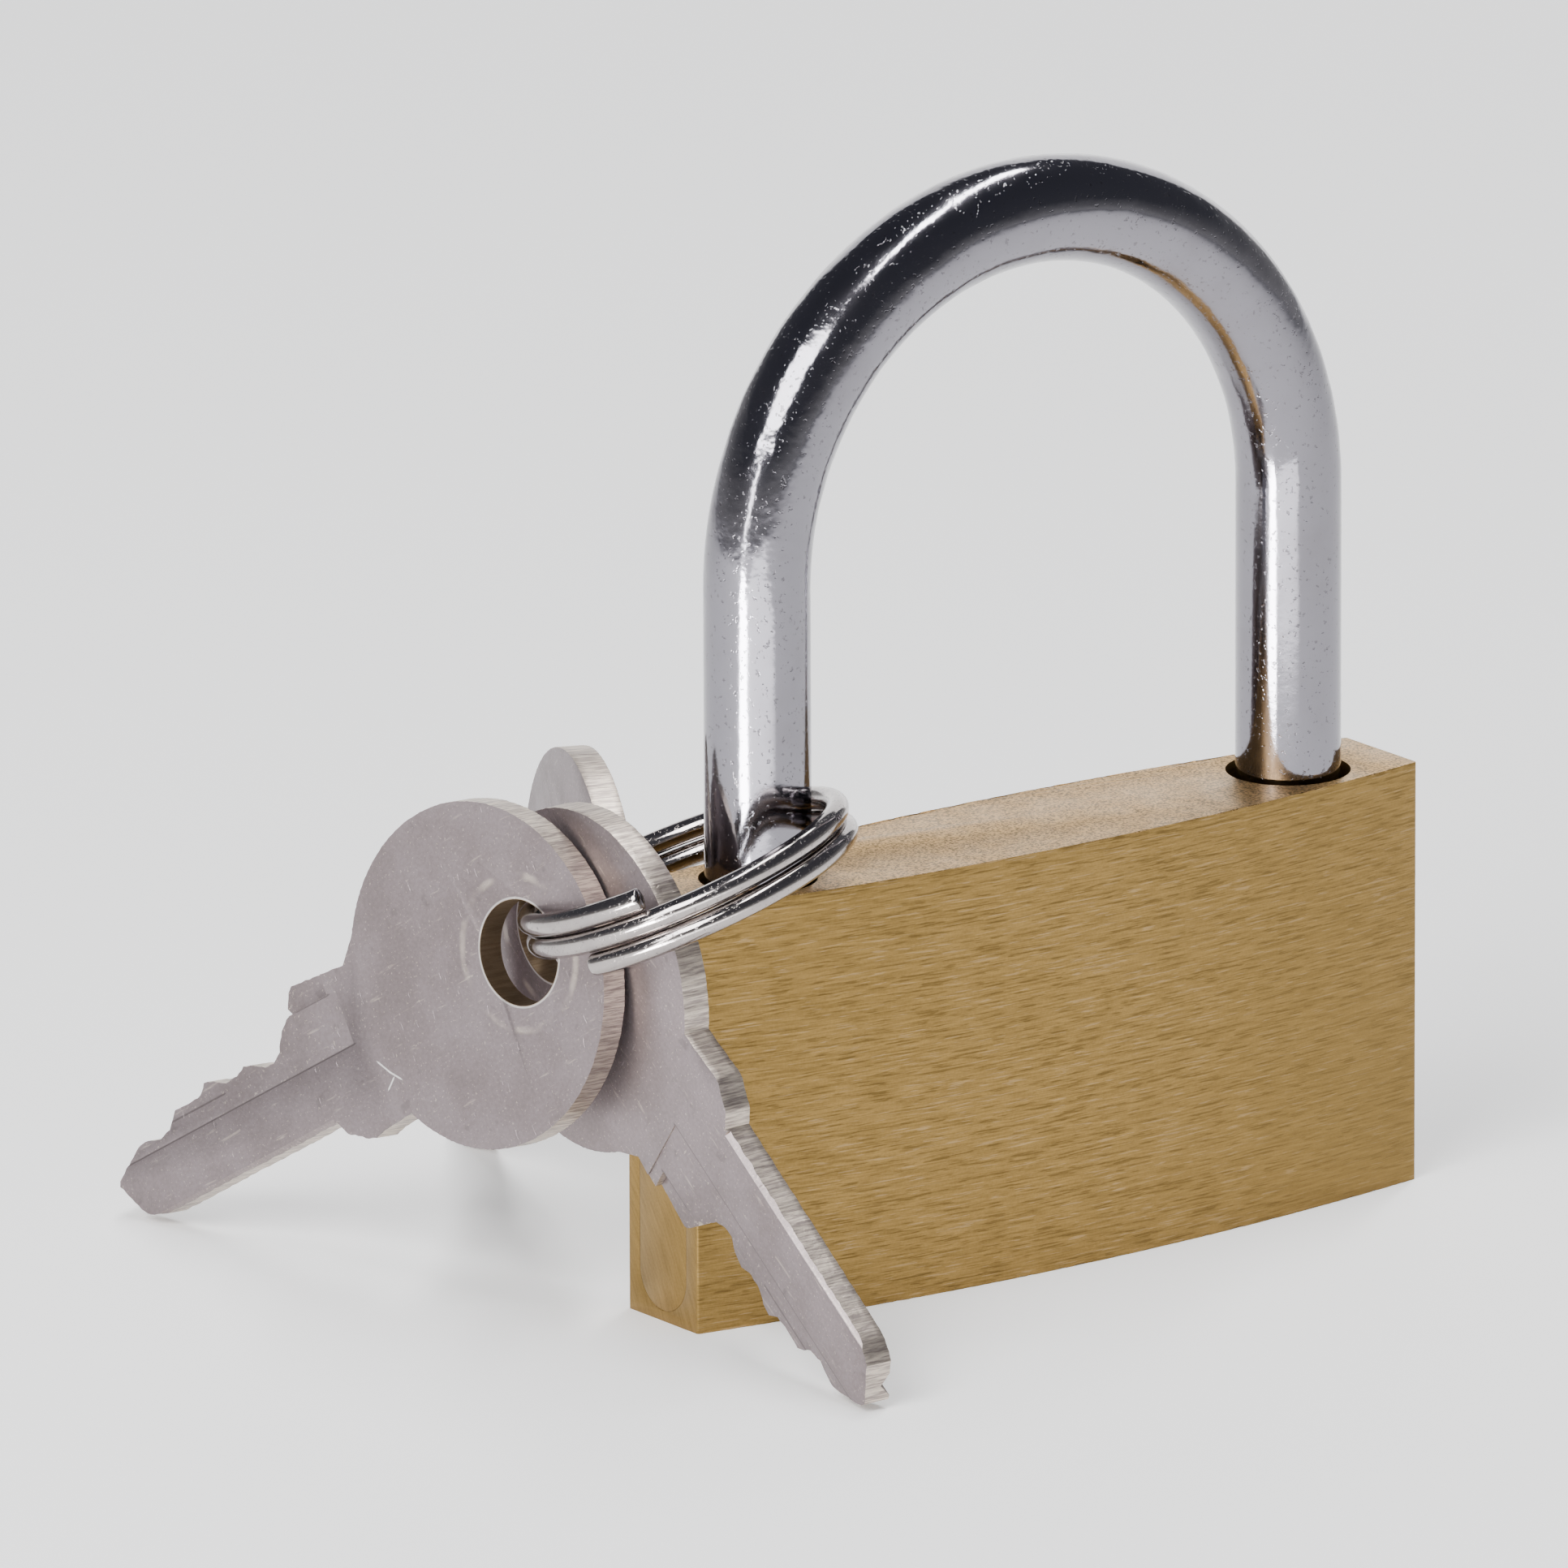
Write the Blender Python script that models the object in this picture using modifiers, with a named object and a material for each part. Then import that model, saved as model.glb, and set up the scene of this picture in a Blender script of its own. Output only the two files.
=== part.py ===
"""Brass pin-tumbler padlock with a steel shackle, three keys on a split ring, and its lock works.

The origin is the centre of the body's bottom face. X runs along the body's width, -Y is the front
and +Z is up. The lock is drawn closed with its bolt held back, as it is with the key turned.
"""

import math

import bmesh
import bpy
from mathutils import Matrix, Vector

MM = 0.001

# Body, in millimetres
BODY_WIDTH = 50.0
BODY_HEIGHT = 24.25
END_DEPTH = 6.4
FACE_RADIUS = 152.0
CORNER_RADIUS = 0.2

# Shackle
LEG_X = 18.4
SHACKLE_RADIUS = 2.96
ARCH_CENTRE_Z = 40.8
TOE_HOLE_RADIUS = 3.3
HEEL_HOLE_RADIUS = 3.5
TOE_HOLE_BOTTOM = 16.2
TOE_END_Z = 16.6
HEEL_HOLE_BOTTOM = 1.5
HEEL_END_Z = 7.4
HEEL_PIN_Z = 19.8
HEEL_PIN_RADIUS = 1.1
HEEL_PIN_BORE_RADIUS = 1.2
HEEL_GROOVE_LOW = 8.4
HEEL_GROOVE_HIGH = 21.2
HEEL_GROOVE_RADIUS = 2.05
ARCH_STEPS = 24

# Locking bolt, which slides along X into a notch in the toe
BOLT_Z = 20.3
BOLT_RADIUS = 1.75
BOLT_BORE_RADIUS = 1.9
BOLT_NOSE_X = -14.8
BOLT_TAIL_X = -2.6
BOLT_BORE_END_X = 2.4
NOTCH_FLOOR_X = -17.4
NOTCH_HALF_HEIGHT = 2.0

# Plug, which the key turns
PLUG_X = -7.5
PLUG_RADIUS = 3.9
PLUG_BORE_RADIUS = 4.05
PLUG_TOP = 17.5
PLUG_BORE_TOP = 17.8
KEYWAY_TOP = 16.8
KEYWAY_HALF_LENGTH = 2.95
KEYWAY_WIDTH = 2.05
WARD_WIDTH = 0.9
WARD_DEPTH = 0.45
DRIVE_PIN_OFFSET = 2.2
DRIVE_PIN_RADIUS = 0.8
DRIVE_PIN_TOP = 20.1
POCKET_RADIUS = 3.3
POCKET_TOP = 20.5
RETAINER_Z = 14.65
RETAINER_RADIUS = 0.65

# Springs: coil radius, wire radius and turns
SHACKLE_SPRING = (2.3, 0.32, 4.5)
PIN_SPRING = (0.78, 0.15, 5.5)
BOLT_SPRING = (1.25, 0.22, 4.5)

# Pin stacks, which lie along X between the left end and the plug
PIN_COUNT = 4
FIRST_PIN_Z = 2.75
PIN_PITCH = 3.2
PIN_RADIUS = 1.05
CHAMBER_RADIUS = 1.2
KEY_PIN_DEPTHS = (1.86, 2.2, 2.15, 1.15)
KEY_PIN_OUTER = 3.65
KEY_PIN_TIP_RADIUS = 0.45
KEY_PIN_NOSE = 0.55
DRIVER_INNER = 4.15
DRIVER_LENGTH = 3.4
STRIP_RADIUS = 2.15
STRIP_THICKNESS = 1.4
STRIP_TOP_Z = 13.4
STRIP_GAP = 0.05

# Split ring
RING_CENTRE = Vector((-22.6, 0.77, 24.92))
RING_NORMAL = Vector((-0.259, 0.287, 0.922)).normalized()
RING_RADIUS = 9.03
RING_WIRE = 0.65
RING_PITCH = 1.35
RING_START = math.radians(178)
RING_TURN = math.radians(748)
RING_STEPS = 84
RING_HINGE = Vector((-15.4, 0, 27.7))

# Keys: a round bow with a hole, then a blade along the key's own +X
KEY_THICKNESS = 1.65
BOW_RADIUS = 9.65
BOW_HOLE_RADIUS = 2.95
BOW_HOLE_X = -3.6
GROOVE_WIDTH = 1.1
GROOVE_DEPTH = 0.5
GROOVE_Y = 1.7
GROOVE_START = 14.6

# Where each key hangs: bow centre, blade direction and the way its front face looks
KEY_POSES = {
    "key_1": ((-30.82, 9.26, 18.7), (-0.195, 0.833, -0.517), (-0.981, -0.174, 0.088)),
    "key_2": ((-27.05, 4.72, 18.8), (0.011, -0.795, -0.607), (-1.0, 0.004, -0.024)),
    "key_3": ((-21.74, 13.16, 19.36), (0.299, 0.773, -0.560), (-0.931, 0.364, 0.005)),
}

BRASS = ((0.55, 0.42, 0.20), 0.35, 1.0)
BRASS_BRIGHT = ((0.66, 0.50, 0.24), 0.3, 1.0)
STEEL = ((0.66, 0.66, 0.70), 0.2, 1.0)
NICKEL = ((0.62, 0.58, 0.57), 0.35, 1.0)
SPRING_STEEL = ((0.5, 0.5, 0.52), 0.3, 1.0)


def clear_scene():
    """Removes every object of the open file, so that only the padlock is left."""
    for obj in list(bpy.data.objects):
        bpy.data.objects.remove(obj, do_unlink=True)


def new_collection(name):
    """Adds a collection to the scene."""
    collection = bpy.data.collections.new(name)
    bpy.context.scene.collection.children.link(collection)
    return collection


def finish_as(obj, name, look):
    """Names a part and gives it a material of its own."""
    color, roughness, metallic = look
    material = bpy.data.materials.new(name)
    material.use_nodes = True
    shader = material.node_tree.nodes["Principled BSDF"]
    shader.inputs["Base Color"].default_value = (*color, 1.0)
    shader.inputs["Roughness"].default_value = roughness
    shader.inputs["Metallic"].default_value = metallic
    obj.name = name
    obj.data.name = name
    obj.data.materials.clear()
    obj.data.materials.append(material)
    if obj.type == "MESH":
        obj.data.shade_smooth()
        obj.data.set_sharp_from_angle(angle=math.radians(30))
    if obj.name not in PARTS.objects:
        PARTS.objects.link(obj)
    return obj


def mesh_object(name, bm, matrix=None):
    """Makes an object, placed by its matrix, from a bmesh drawn in metres."""
    mesh = bpy.data.meshes.new(name)
    bmesh.ops.recalc_face_normals(bm, faces=bm.faces)
    bm.to_mesh(mesh)
    bm.free()
    obj = bpy.data.objects.new(name, mesh)
    if matrix is not None:
        obj.matrix_world = matrix
    return obj


def along(start, direction):
    """The matrix that carries local +Z at the origin to a direction at a point given in millimetres."""
    turn = Vector(direction).to_track_quat("Z", "Y").to_matrix().to_4x4()
    return Matrix.Translation(Vector(start) * MM) @ turn


def rod(name, radius, start, end, segments=24):
    """A cylinder between two points."""
    start, end = Vector(start), Vector(end)
    length = (end - start).length
    bm = bmesh.new()
    bmesh.ops.create_cone(
        bm, cap_ends=True, segments=segments, radius1=radius * MM, radius2=radius * MM, depth=length * MM
    )
    bmesh.ops.translate(bm, verts=bm.verts, vec=(0, 0, length * MM / 2))
    return mesh_object(name, bm, along(start, end - start))


def block(name, low, high):
    """A box between two corners."""
    low, high = Vector(low), Vector(high)
    bm = bmesh.new()
    bmesh.ops.create_cube(bm, size=1.0)
    bmesh.ops.scale(bm, verts=bm.verts, vec=(high - low) * MM)
    return mesh_object(name, bm, Matrix.Translation((low + high) / 2 * MM))


def turned(name, profile, start, direction, steps=20):
    """A turned piece. Its profile of (radius, height) runs from the top of the axis down to the foot."""
    bm = bmesh.new()
    verts = [bm.verts.new((radius * MM, 0, height * MM)) for radius, height in profile]
    for upper, lower in zip(verts, verts[1:]):
        bm.edges.new((upper, lower))
    mesh = bpy.data.meshes.new(name)
    bm.to_mesh(mesh)
    bm.free()
    obj = bpy.data.objects.new(name, mesh)
    obj.matrix_world = along(start, direction)
    screw = obj.modifiers.new("turn", "SCREW")
    screw.steps = steps
    screw.render_steps = steps
    screw.use_merge_vertices = True
    screw.merge_threshold = 0.000001
    return obj


def baked(obj):
    """The object with its modifiers or its curve turned into a plain, welded mesh."""
    if obj.name not in bpy.context.scene.collection.objects:
        bpy.context.scene.collection.objects.link(obj)
    bpy.context.view_layer.update()
    graph = bpy.context.evaluated_depsgraph_get()
    mesh = bpy.data.meshes.new_from_object(obj.evaluated_get(graph))
    bm = bmesh.new()
    bm.from_mesh(mesh)
    bmesh.ops.remove_doubles(bm, verts=bm.verts, dist=0.000001)
    bmesh.ops.recalc_face_normals(bm, faces=bm.faces)
    bm.to_mesh(mesh)
    bm.free()
    name = obj.name
    copy = bpy.data.objects.new(name, mesh)
    copy.matrix_world = obj.matrix_world.copy()
    bpy.data.objects.remove(obj, do_unlink=True)
    copy.name = name
    return copy


def plate(name, outline, thickness, matrix, holes=()):
    """A flat plate with its outline in local XY and its thickness along local +Z from zero."""
    curve = bpy.data.curves.new(name, "CURVE")
    curve.dimensions = "2D"
    curve.fill_mode = "BOTH"
    curve.extrude = thickness * MM / 2
    for points in (outline, *holes):
        spline = curve.splines.new("POLY")
        spline.points.add(len(points) - 1)
        for point, (x, y) in zip(spline.points, points):
            point.co = (x * MM, y * MM, 0, 1)
        spline.use_cyclic_u = True
    obj = bpy.data.objects.new(name, curve)
    obj.matrix_world = matrix @ Matrix.Translation((0, 0, thickness * MM / 2))
    return baked(obj)


def wire(name, points, radius, resolution=2):
    """A round wire along a list of points in millimetres."""
    curve = bpy.data.curves.new(name, "CURVE")
    curve.dimensions = "3D"
    curve.bevel_depth = radius * MM
    curve.bevel_resolution = resolution
    curve.use_fill_caps = True
    spline = curve.splines.new("POLY")
    spline.points.add(len(points) - 1)
    for point, place in zip(spline.points, points):
        point.co = (*(Vector(place) * MM), 1)
    return bpy.data.objects.new(name, curve)


def cut(obj, cutter, operation="DIFFERENCE"):
    """Cuts a hidden tool from a part, or joins it on."""
    CUTTERS.objects.link(cutter)
    cutter.hide_render = True
    cutter.display_type = "WIRE"
    boolean = obj.modifiers.new(cutter.name, "BOOLEAN")
    boolean.operation = operation
    boolean.object = cutter


def arc(centre, radius, start, end, steps):
    """Points along an arc, with its angles in degrees."""
    angles = (math.radians(start + (end - start) * i / steps) for i in range(steps + 1))
    return [(centre[0] + radius * math.cos(a), centre[1] + radius * math.sin(a)) for a in angles]


def half_depth(x):
    """Half the body's depth at x: both faces are the same wide arc."""
    end = BODY_WIDTH / 2
    return END_DEPTH / 2 + math.sqrt(FACE_RADIUS**2 - x**2) - math.sqrt(FACE_RADIUS**2 - end**2)


def pin_heights():
    """The height of each pin stack's axis."""
    return [FIRST_PIN_Z + PIN_PITCH * i for i in range(PIN_COUNT)]


def body_outline():
    """The body seen from above: two arcs for faces, flat ends, and small round corners."""
    slope = math.degrees(math.asin(BODY_WIDTH / 2 / FACE_RADIUS))
    end = BODY_WIDTH / 2
    reach = 90 - slope
    tangent_x = end - CORNER_RADIUS * (1 - math.cos(math.radians(reach)))
    centre_y = half_depth(tangent_x) - CORNER_RADIUS * math.sin(math.radians(reach))
    corner = arc((end - CORNER_RADIUS, centre_y), CORNER_RADIUS, 0, reach, 4)
    steps = 18
    face = [tangent_x - 2 * tangent_x * i / steps for i in range(1, steps)]
    top = corner + [(x, half_depth(x)) for x in face] + [(-x, y) for x, y in reversed(corner)]
    return top + [(-x, -y) for x, y in top]


def stadium(low_y, high_y, radius, steps=10):
    """A slot outline, round at both ends, that stands along local Y."""
    return arc((0, high_y), radius, 0, 180, steps) + arc((0, low_y), radius, 180, 360, steps)


def left_end_matrix(x):
    """Carries local X to -Y, local Y to +Z and local Z to -X, at a point on the left end."""
    turn = Matrix(((0, 0, -1, 0), (-1, 0, 0, 0), (0, 1, 0, 0), (0, 0, 0, 1)))
    return Matrix.Translation((x * MM, 0, 0)) @ turn


def make_body():
    """The solid brass body, drilled for the shackle, the plug, the pins and the bolt."""
    body = plate("lock_body", body_outline(), BODY_HEIGHT, Matrix.Identity(4))
    above, below, left = BODY_HEIGHT + 1, -1, -BODY_WIDTH / 2 - 1
    cut(body, rod("toe_drill", TOE_HOLE_RADIUS, (-LEG_X, 0, TOE_HOLE_BOTTOM), (-LEG_X, 0, above), 32))
    cut(body, rod("heel_drill", HEEL_HOLE_RADIUS, (LEG_X, 0, HEEL_HOLE_BOTTOM), (LEG_X, 0, above), 32))
    cut(body, rod("plug_drill", PLUG_BORE_RADIUS, (PLUG_X, 0, below), (PLUG_X, 0, PLUG_BORE_TOP), 36))
    cut(body, rod("pocket_drill", POCKET_RADIUS, (PLUG_X, 0, PLUG_BORE_TOP - 1), (PLUG_X, 0, POCKET_TOP)))
    cut(body, rod("bolt_drill", BOLT_BORE_RADIUS, (left, 0, BOLT_Z), (BOLT_BORE_END_X, 0, BOLT_Z), 20))
    for number, z in enumerate(pin_heights(), 1):
        cut(body, rod(f"chamber_drill_{number}", CHAMBER_RADIUS, (left, 0, z), (PLUG_X - 3, 0, z), 16))
    clearance = RETAINER_RADIUS + 0.1
    cut(body, rod("retainer_drill", clearance, (left, 0, RETAINER_Z), (PLUG_X - 3, 0, RETAINER_Z), 16))
    strip_slot = stadium(FIRST_PIN_Z, STRIP_TOP_Z, STRIP_RADIUS)
    inner = -BODY_WIDTH / 2 + STRIP_THICKNESS + STRIP_GAP
    cut(body, plate("strip_mill", strip_slot, STRIP_THICKNESS + 1, left_end_matrix(inner)))
    pin_start, pin_end = (LEG_X + 2.5, 0, HEEL_PIN_Z), (BODY_WIDTH / 2 + 1, 0, HEEL_PIN_Z)
    cut(body, rod("heel_pin_drill", HEEL_PIN_BORE_RADIUS, pin_start, pin_end, 16))
    finish_as(body, "lock_body", BRASS)


def make_shackle():
    """The bent steel rod, with the toe's notch for the bolt and the heel's groove for its pin."""
    arch = [(x, 0, z) for x, z in arc((0, ARCH_CENTRE_Z), LEG_X, 180, 0, ARCH_STEPS)]
    rod_points = [(-LEG_X, 0, TOE_END_Z), *arch, (LEG_X, 0, HEEL_END_Z)]
    shackle = baked(wire("shackle", rod_points, SHACKLE_RADIUS, 4))
    notch_low = (NOTCH_FLOOR_X, -4, BOLT_Z - NOTCH_HALF_HEIGHT)
    cut(shackle, block("toe_notch", notch_low, (-LEG_X + 4, 4, BOLT_Z + NOTCH_HALF_HEIGHT)))
    height = HEEL_GROOVE_HIGH - HEEL_GROOVE_LOW
    outer, inner = SHACKLE_RADIUS + 0.5, HEEL_GROOVE_RADIUS
    profile = [(inner, height), (outer, height), (outer, 0), (inner, 0), (inner, height)]
    cut(shackle, baked(turned("heel_groove", profile, (LEG_X, 0, HEEL_GROOVE_LOW), (0, 0, 1))))
    finish_as(shackle, "shackle", STEEL)


def make_heel_works():
    """The spring under the heel and the pin that keeps the heel in the body."""
    low, high = HEEL_HOLE_BOTTOM + 0.5, HEEL_END_Z - 0.6
    spring = coil("shackle_spring", SHACKLE_SPRING, low, high, (LEG_X, 0, 0), (0, 0, 1))
    finish_as(spring, "shackle_spring", SPRING_STEEL)
    pin_start, pin_end = (LEG_X + 2.3, 0, HEEL_PIN_Z), (BODY_WIDTH / 2 - 0.02, 0, HEEL_PIN_Z)
    pin = rod("shackle_retaining_pin", HEEL_PIN_RADIUS, pin_start, pin_end, 16)
    finish_as(pin, "shackle_retaining_pin", BRASS_BRIGHT)


def coil(name, size, low, high, start, direction, steps_per_turn=10):
    """A compression spring of (coil radius, wire radius, turns) between two heights along a direction."""
    radius, wire_radius, turns = size
    steps = round(turns * steps_per_turn)
    points = []
    for i in range(steps + 1):
        angle = 2 * math.pi * i / steps_per_turn
        height = low + wire_radius + (high - low - 2 * wire_radius) * i / steps
        points.append((radius * math.cos(angle), radius * math.sin(angle), height))
    spring = wire(name, points, wire_radius, 1)
    spring.matrix_world = along(start, direction)
    return spring


def make_plug():
    """The cylinder that the key turns, with its keyway, its pin holes and the pin that drives the bolt."""
    groove_half = RETAINER_RADIUS + 0.2
    neck = PLUG_RADIUS - 0.55
    profile = [
        (0, PLUG_TOP),
        (PLUG_RADIUS - 0.2, PLUG_TOP),
        (PLUG_RADIUS, PLUG_TOP - 0.2),
        (PLUG_RADIUS, RETAINER_Z + groove_half),
        (neck, RETAINER_Z + groove_half),
        (neck, RETAINER_Z - groove_half),
        (PLUG_RADIUS, RETAINER_Z - groove_half),
        (PLUG_RADIUS, 0.05),
        (0, 0.05),
    ]
    plug = baked(turned("plug", profile, (PLUG_X, 0, 0), (0, 0, 1), 36))
    drive = rod(
        "drive_pin",
        DRIVE_PIN_RADIUS,
        (PLUG_X, -DRIVE_PIN_OFFSET, PLUG_TOP - 0.3),
        (PLUG_X, -DRIVE_PIN_OFFSET, DRIVE_PIN_TOP),
        14,
    )
    cut(plug, drive, "UNION")
    half, wide = KEYWAY_HALF_LENGTH, KEYWAY_WIDTH / 2
    ward = WARD_WIDTH / 2
    ward_x = GROOVE_Y - 0.8
    keyway = [
        (-half, -wide),
        (half, -wide),
        (half, wide),
        (ward_x + ward, wide),
        (ward_x + ward, wide - WARD_DEPTH),
        (ward_x - ward, wide - WARD_DEPTH),
        (ward_x - ward, wide),
        (-half, wide),
    ]
    slot = plate("keyway_cutter", keyway, KEYWAY_TOP + 1, Matrix.Translation((PLUG_X * MM, 0, -1 * MM)))
    cut(plug, slot)
    for number, z in enumerate(pin_heights(), 1):
        outer, inner = (PLUG_X - PLUG_RADIUS - 1, 0, z), (PLUG_X - 0.2, 0, z)
        cut(plug, rod(f"plug_pin_drill_{number}", CHAMBER_RADIUS, outer, inner, 16))
    finish_as(plug, "plug", BRASS_BRIGHT)
    tip = PLUG_X - PLUG_RADIUS + 0.3
    outer = -BODY_WIDTH / 2 + STRIP_THICKNESS + 0.4
    retainer = rod("plug_retaining_pin", RETAINER_RADIUS, (outer, 0, RETAINER_Z), (tip, 0, RETAINER_Z), 14)
    finish_as(retainer, "plug_retaining_pin", SPRING_STEEL)


def make_pin_stacks():
    """Four stacks of a key pin, a driver pin and a spring, and the strip that closes their chambers."""
    strip_inner = -BODY_WIDTH / 2 + STRIP_THICKNESS
    for number, (z, depth) in enumerate(zip(pin_heights(), KEY_PIN_DEPTHS), 1):
        length = KEY_PIN_OUTER - depth
        nose = min(KEY_PIN_NOSE, length * 0.4)
        side = [(PIN_RADIUS, length - nose), (PIN_RADIUS, 0)]
        profile = [(0, length), (KEY_PIN_TIP_RADIUS, length), *side, (0, 0)]
        key_pin = baked(turned("key_pin", profile, (PLUG_X - KEY_PIN_OUTER, 0, z), (1, 0, 0), 14))
        finish_as(key_pin, f"key_pin_{number}", BRASS_BRIGHT)
        inner = PLUG_X - DRIVER_INNER
        driver = rod("driver_pin", PIN_RADIUS, (inner - DRIVER_LENGTH, 0, z), (inner, 0, z), 14)
        finish_as(driver, f"driver_pin_{number}", BRASS_BRIGHT)
        spring_end = inner - DRIVER_LENGTH - 0.15 - strip_inner
        spring = coil("spring", PIN_SPRING, 0.15, spring_end, (strip_inner, 0, z), (1, 0, 0))
        finish_as(spring, f"pin_spring_{number}", SPRING_STEEL)
    outline = stadium(FIRST_PIN_Z, STRIP_TOP_Z, STRIP_RADIUS - STRIP_GAP)
    strip = plate("pin_cover_strip", outline, STRIP_THICKNESS, left_end_matrix(strip_inner))
    finish_as(strip, "pin_cover_strip", BRASS)


def make_bolt():
    """The sliding bolt, its spring, and the plug that closes the bolt's bore."""
    nose, tail = (BOLT_NOSE_X, 0, BOLT_Z), (BOLT_TAIL_X, 0, BOLT_Z)
    bolt = rod("locking_bolt", BOLT_RADIUS, nose, tail, 20)
    slot_low = (PLUG_X - DRIVE_PIN_RADIUS - 0.25, -3, BOLT_Z - BOLT_RADIUS - 1)
    slot_high = (PLUG_X + DRIVE_PIN_OFFSET + DRIVE_PIN_RADIUS + 0.25, 3, DRIVE_PIN_TOP + 0.2)
    cut(bolt, block("drive_slot", slot_low, slot_high))
    bevel_block = block("nose_bevel", (-3, -3, 0), (0, 3, 3))
    bevel_block.matrix_world = (
        Matrix.Translation((BOLT_NOSE_X * MM, 0, (BOLT_Z + 0.2) * MM))
        @ Matrix.Rotation(math.radians(40), 4, "Y")
        @ bevel_block.matrix_world
    )
    cut(bolt, bevel_block)
    finish_as(bolt, "locking_bolt", BRASS_BRIGHT)
    spring = coil("bolt_spring", BOLT_SPRING, 0.1, BOLT_BORE_END_X - BOLT_TAIL_X - 0.1, tail, (1, 0, 0))
    finish_as(spring, "bolt_spring", SPRING_STEEL)
    closing = rod(
        "bolt_bore_plug",
        BOLT_BORE_RADIUS - 0.05,
        (-BODY_WIDTH / 2 + 0.02, 0, BOLT_Z),
        (-LEG_X - TOE_HOLE_RADIUS - 0.1, 0, BOLT_Z),
        20,
    )
    finish_as(closing, "bolt_bore_plug", BRASS)


def ring_axes():
    """Two directions that span the ring's plane."""
    first = RING_NORMAL.cross(Vector((0, 0, 1))).normalized()
    return first, RING_NORMAL.cross(first)


def make_ring():
    """The split ring: one wire wound a little over two turns, round the toe of the shackle."""
    first, second = ring_axes()
    points = []
    for i in range(RING_STEPS + 1):
        turn = RING_TURN * i / RING_STEPS
        angle = RING_START - turn
        rise = RING_PITCH * (1 - turn / (2 * math.pi))
        out = first * math.cos(angle) + second * math.sin(angle)
        points.append(RING_CENTRE - RING_HINGE + out * RING_RADIUS + RING_NORMAL * rise)
    ring = wire("split_ring", points, RING_WIRE, 2)
    ring.location = RING_HINGE * MM
    finish_as(ring, "split_ring", STEEL)


def key_outline():
    """The key's outline. The blade's cuts are on its -Y side and its straight back is on its +Y side."""
    bow = arc((0, 0), BOW_RADIUS, 32, 326, 36)
    shoulder = [(9.4, -4.1), (14.4, -4.6), (15.0, -3.5), (14.9, -3.0)]
    cuts = [
        (15.9, -2.1), (16.9, -1.1), (17.7, -1.06), (19.2, -1.75), (20.0, -1.45), (21.0, -1.4),
        (22.4, -2.0), (23.2, -1.4), (24.4, -1.35), (25.4, -1.45), (26.5, -0.4), (27.4, -0.35),
        (28.6, -0.65), (30.0, -0.1),
    ]
    tip = [(31.4, 0.75), (30.1, 3.0), (28.8, 3.6)]
    stop = [(13.7, 3.6), (13.3, 4.5), (11.6, 5.4), (10.7, 5.3)]
    return bow + shoulder + cuts + tip + stop


def make_key(name, centre, blade, face):
    """One key, hung in its place. Its own origin is its hole's centre, and its front face is its z = 0."""
    face = Vector(face).normalized()
    blade = Vector(blade)
    blade = (blade - face * blade.dot(face)).normalized()
    side = face.cross(blade)
    turn = Matrix((blade, side, face)).transposed().to_4x4()
    place = Matrix.Translation((Vector(centre) + blade * BOW_HOLE_X) * MM) @ turn
    outline = [(x - BOW_HOLE_X, y) for x, y in key_outline()]
    hole = arc((0, 0), BOW_HOLE_RADIUS, 0, 337.5, 15)
    sunk = Matrix.Translation((0, 0, -KEY_THICKNESS * MM))
    key = plate(name, outline, KEY_THICKNESS, place @ sunk, [hole])
    groove = block(
        f"{name}_groove",
        (GROOVE_START, GROOVE_Y - GROOVE_WIDTH / 2, -KEY_THICKNESS - 1),
        (GROOVE_START + 30, GROOVE_Y + GROOVE_WIDTH / 2, -KEY_THICKNESS + GROOVE_DEPTH),
    )
    groove.matrix_world = place @ groove.matrix_world
    cut(key, groove)
    finish_as(key, name, NICKEL)


clear_scene()
PARTS = new_collection("padlock")
CUTTERS = new_collection("padlock_cutters")
make_body()
make_shackle()
make_heel_works()
make_plug()
make_pin_stacks()
make_bolt()
make_ring()
for key_name, (bow_centre, blade_direction, face_direction) in KEY_POSES.items():
    make_key(key_name, bow_centre, blade_direction, face_direction)
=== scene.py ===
"""The looks of a slim brass padlock with a plated shackle, a split ring and three worn keys."""

from __future__ import annotations

import logging
import math
import random
from dataclasses import dataclass
from enum import Enum
from typing import Callable, Iterable, Sequence, Union

import bmesh
import bpy
from mathutils import Matrix, Vector, noise

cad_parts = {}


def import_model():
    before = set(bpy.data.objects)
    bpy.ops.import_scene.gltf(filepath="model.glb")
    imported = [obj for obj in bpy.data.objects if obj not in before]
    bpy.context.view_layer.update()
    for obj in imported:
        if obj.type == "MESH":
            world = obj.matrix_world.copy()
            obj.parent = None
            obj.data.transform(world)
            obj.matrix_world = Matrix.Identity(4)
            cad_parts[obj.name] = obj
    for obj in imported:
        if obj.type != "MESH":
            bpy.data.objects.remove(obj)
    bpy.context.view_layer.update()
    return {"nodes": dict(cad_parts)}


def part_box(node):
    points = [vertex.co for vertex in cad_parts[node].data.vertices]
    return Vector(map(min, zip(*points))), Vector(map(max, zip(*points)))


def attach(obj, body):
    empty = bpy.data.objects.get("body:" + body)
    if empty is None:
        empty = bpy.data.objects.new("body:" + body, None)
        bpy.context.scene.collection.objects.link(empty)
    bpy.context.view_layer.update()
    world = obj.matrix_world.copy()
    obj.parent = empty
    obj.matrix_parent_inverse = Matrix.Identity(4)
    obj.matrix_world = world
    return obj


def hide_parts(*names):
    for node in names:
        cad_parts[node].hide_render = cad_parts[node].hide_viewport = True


MM = 0.001
log = logging.getLogger("padlock")

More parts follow.
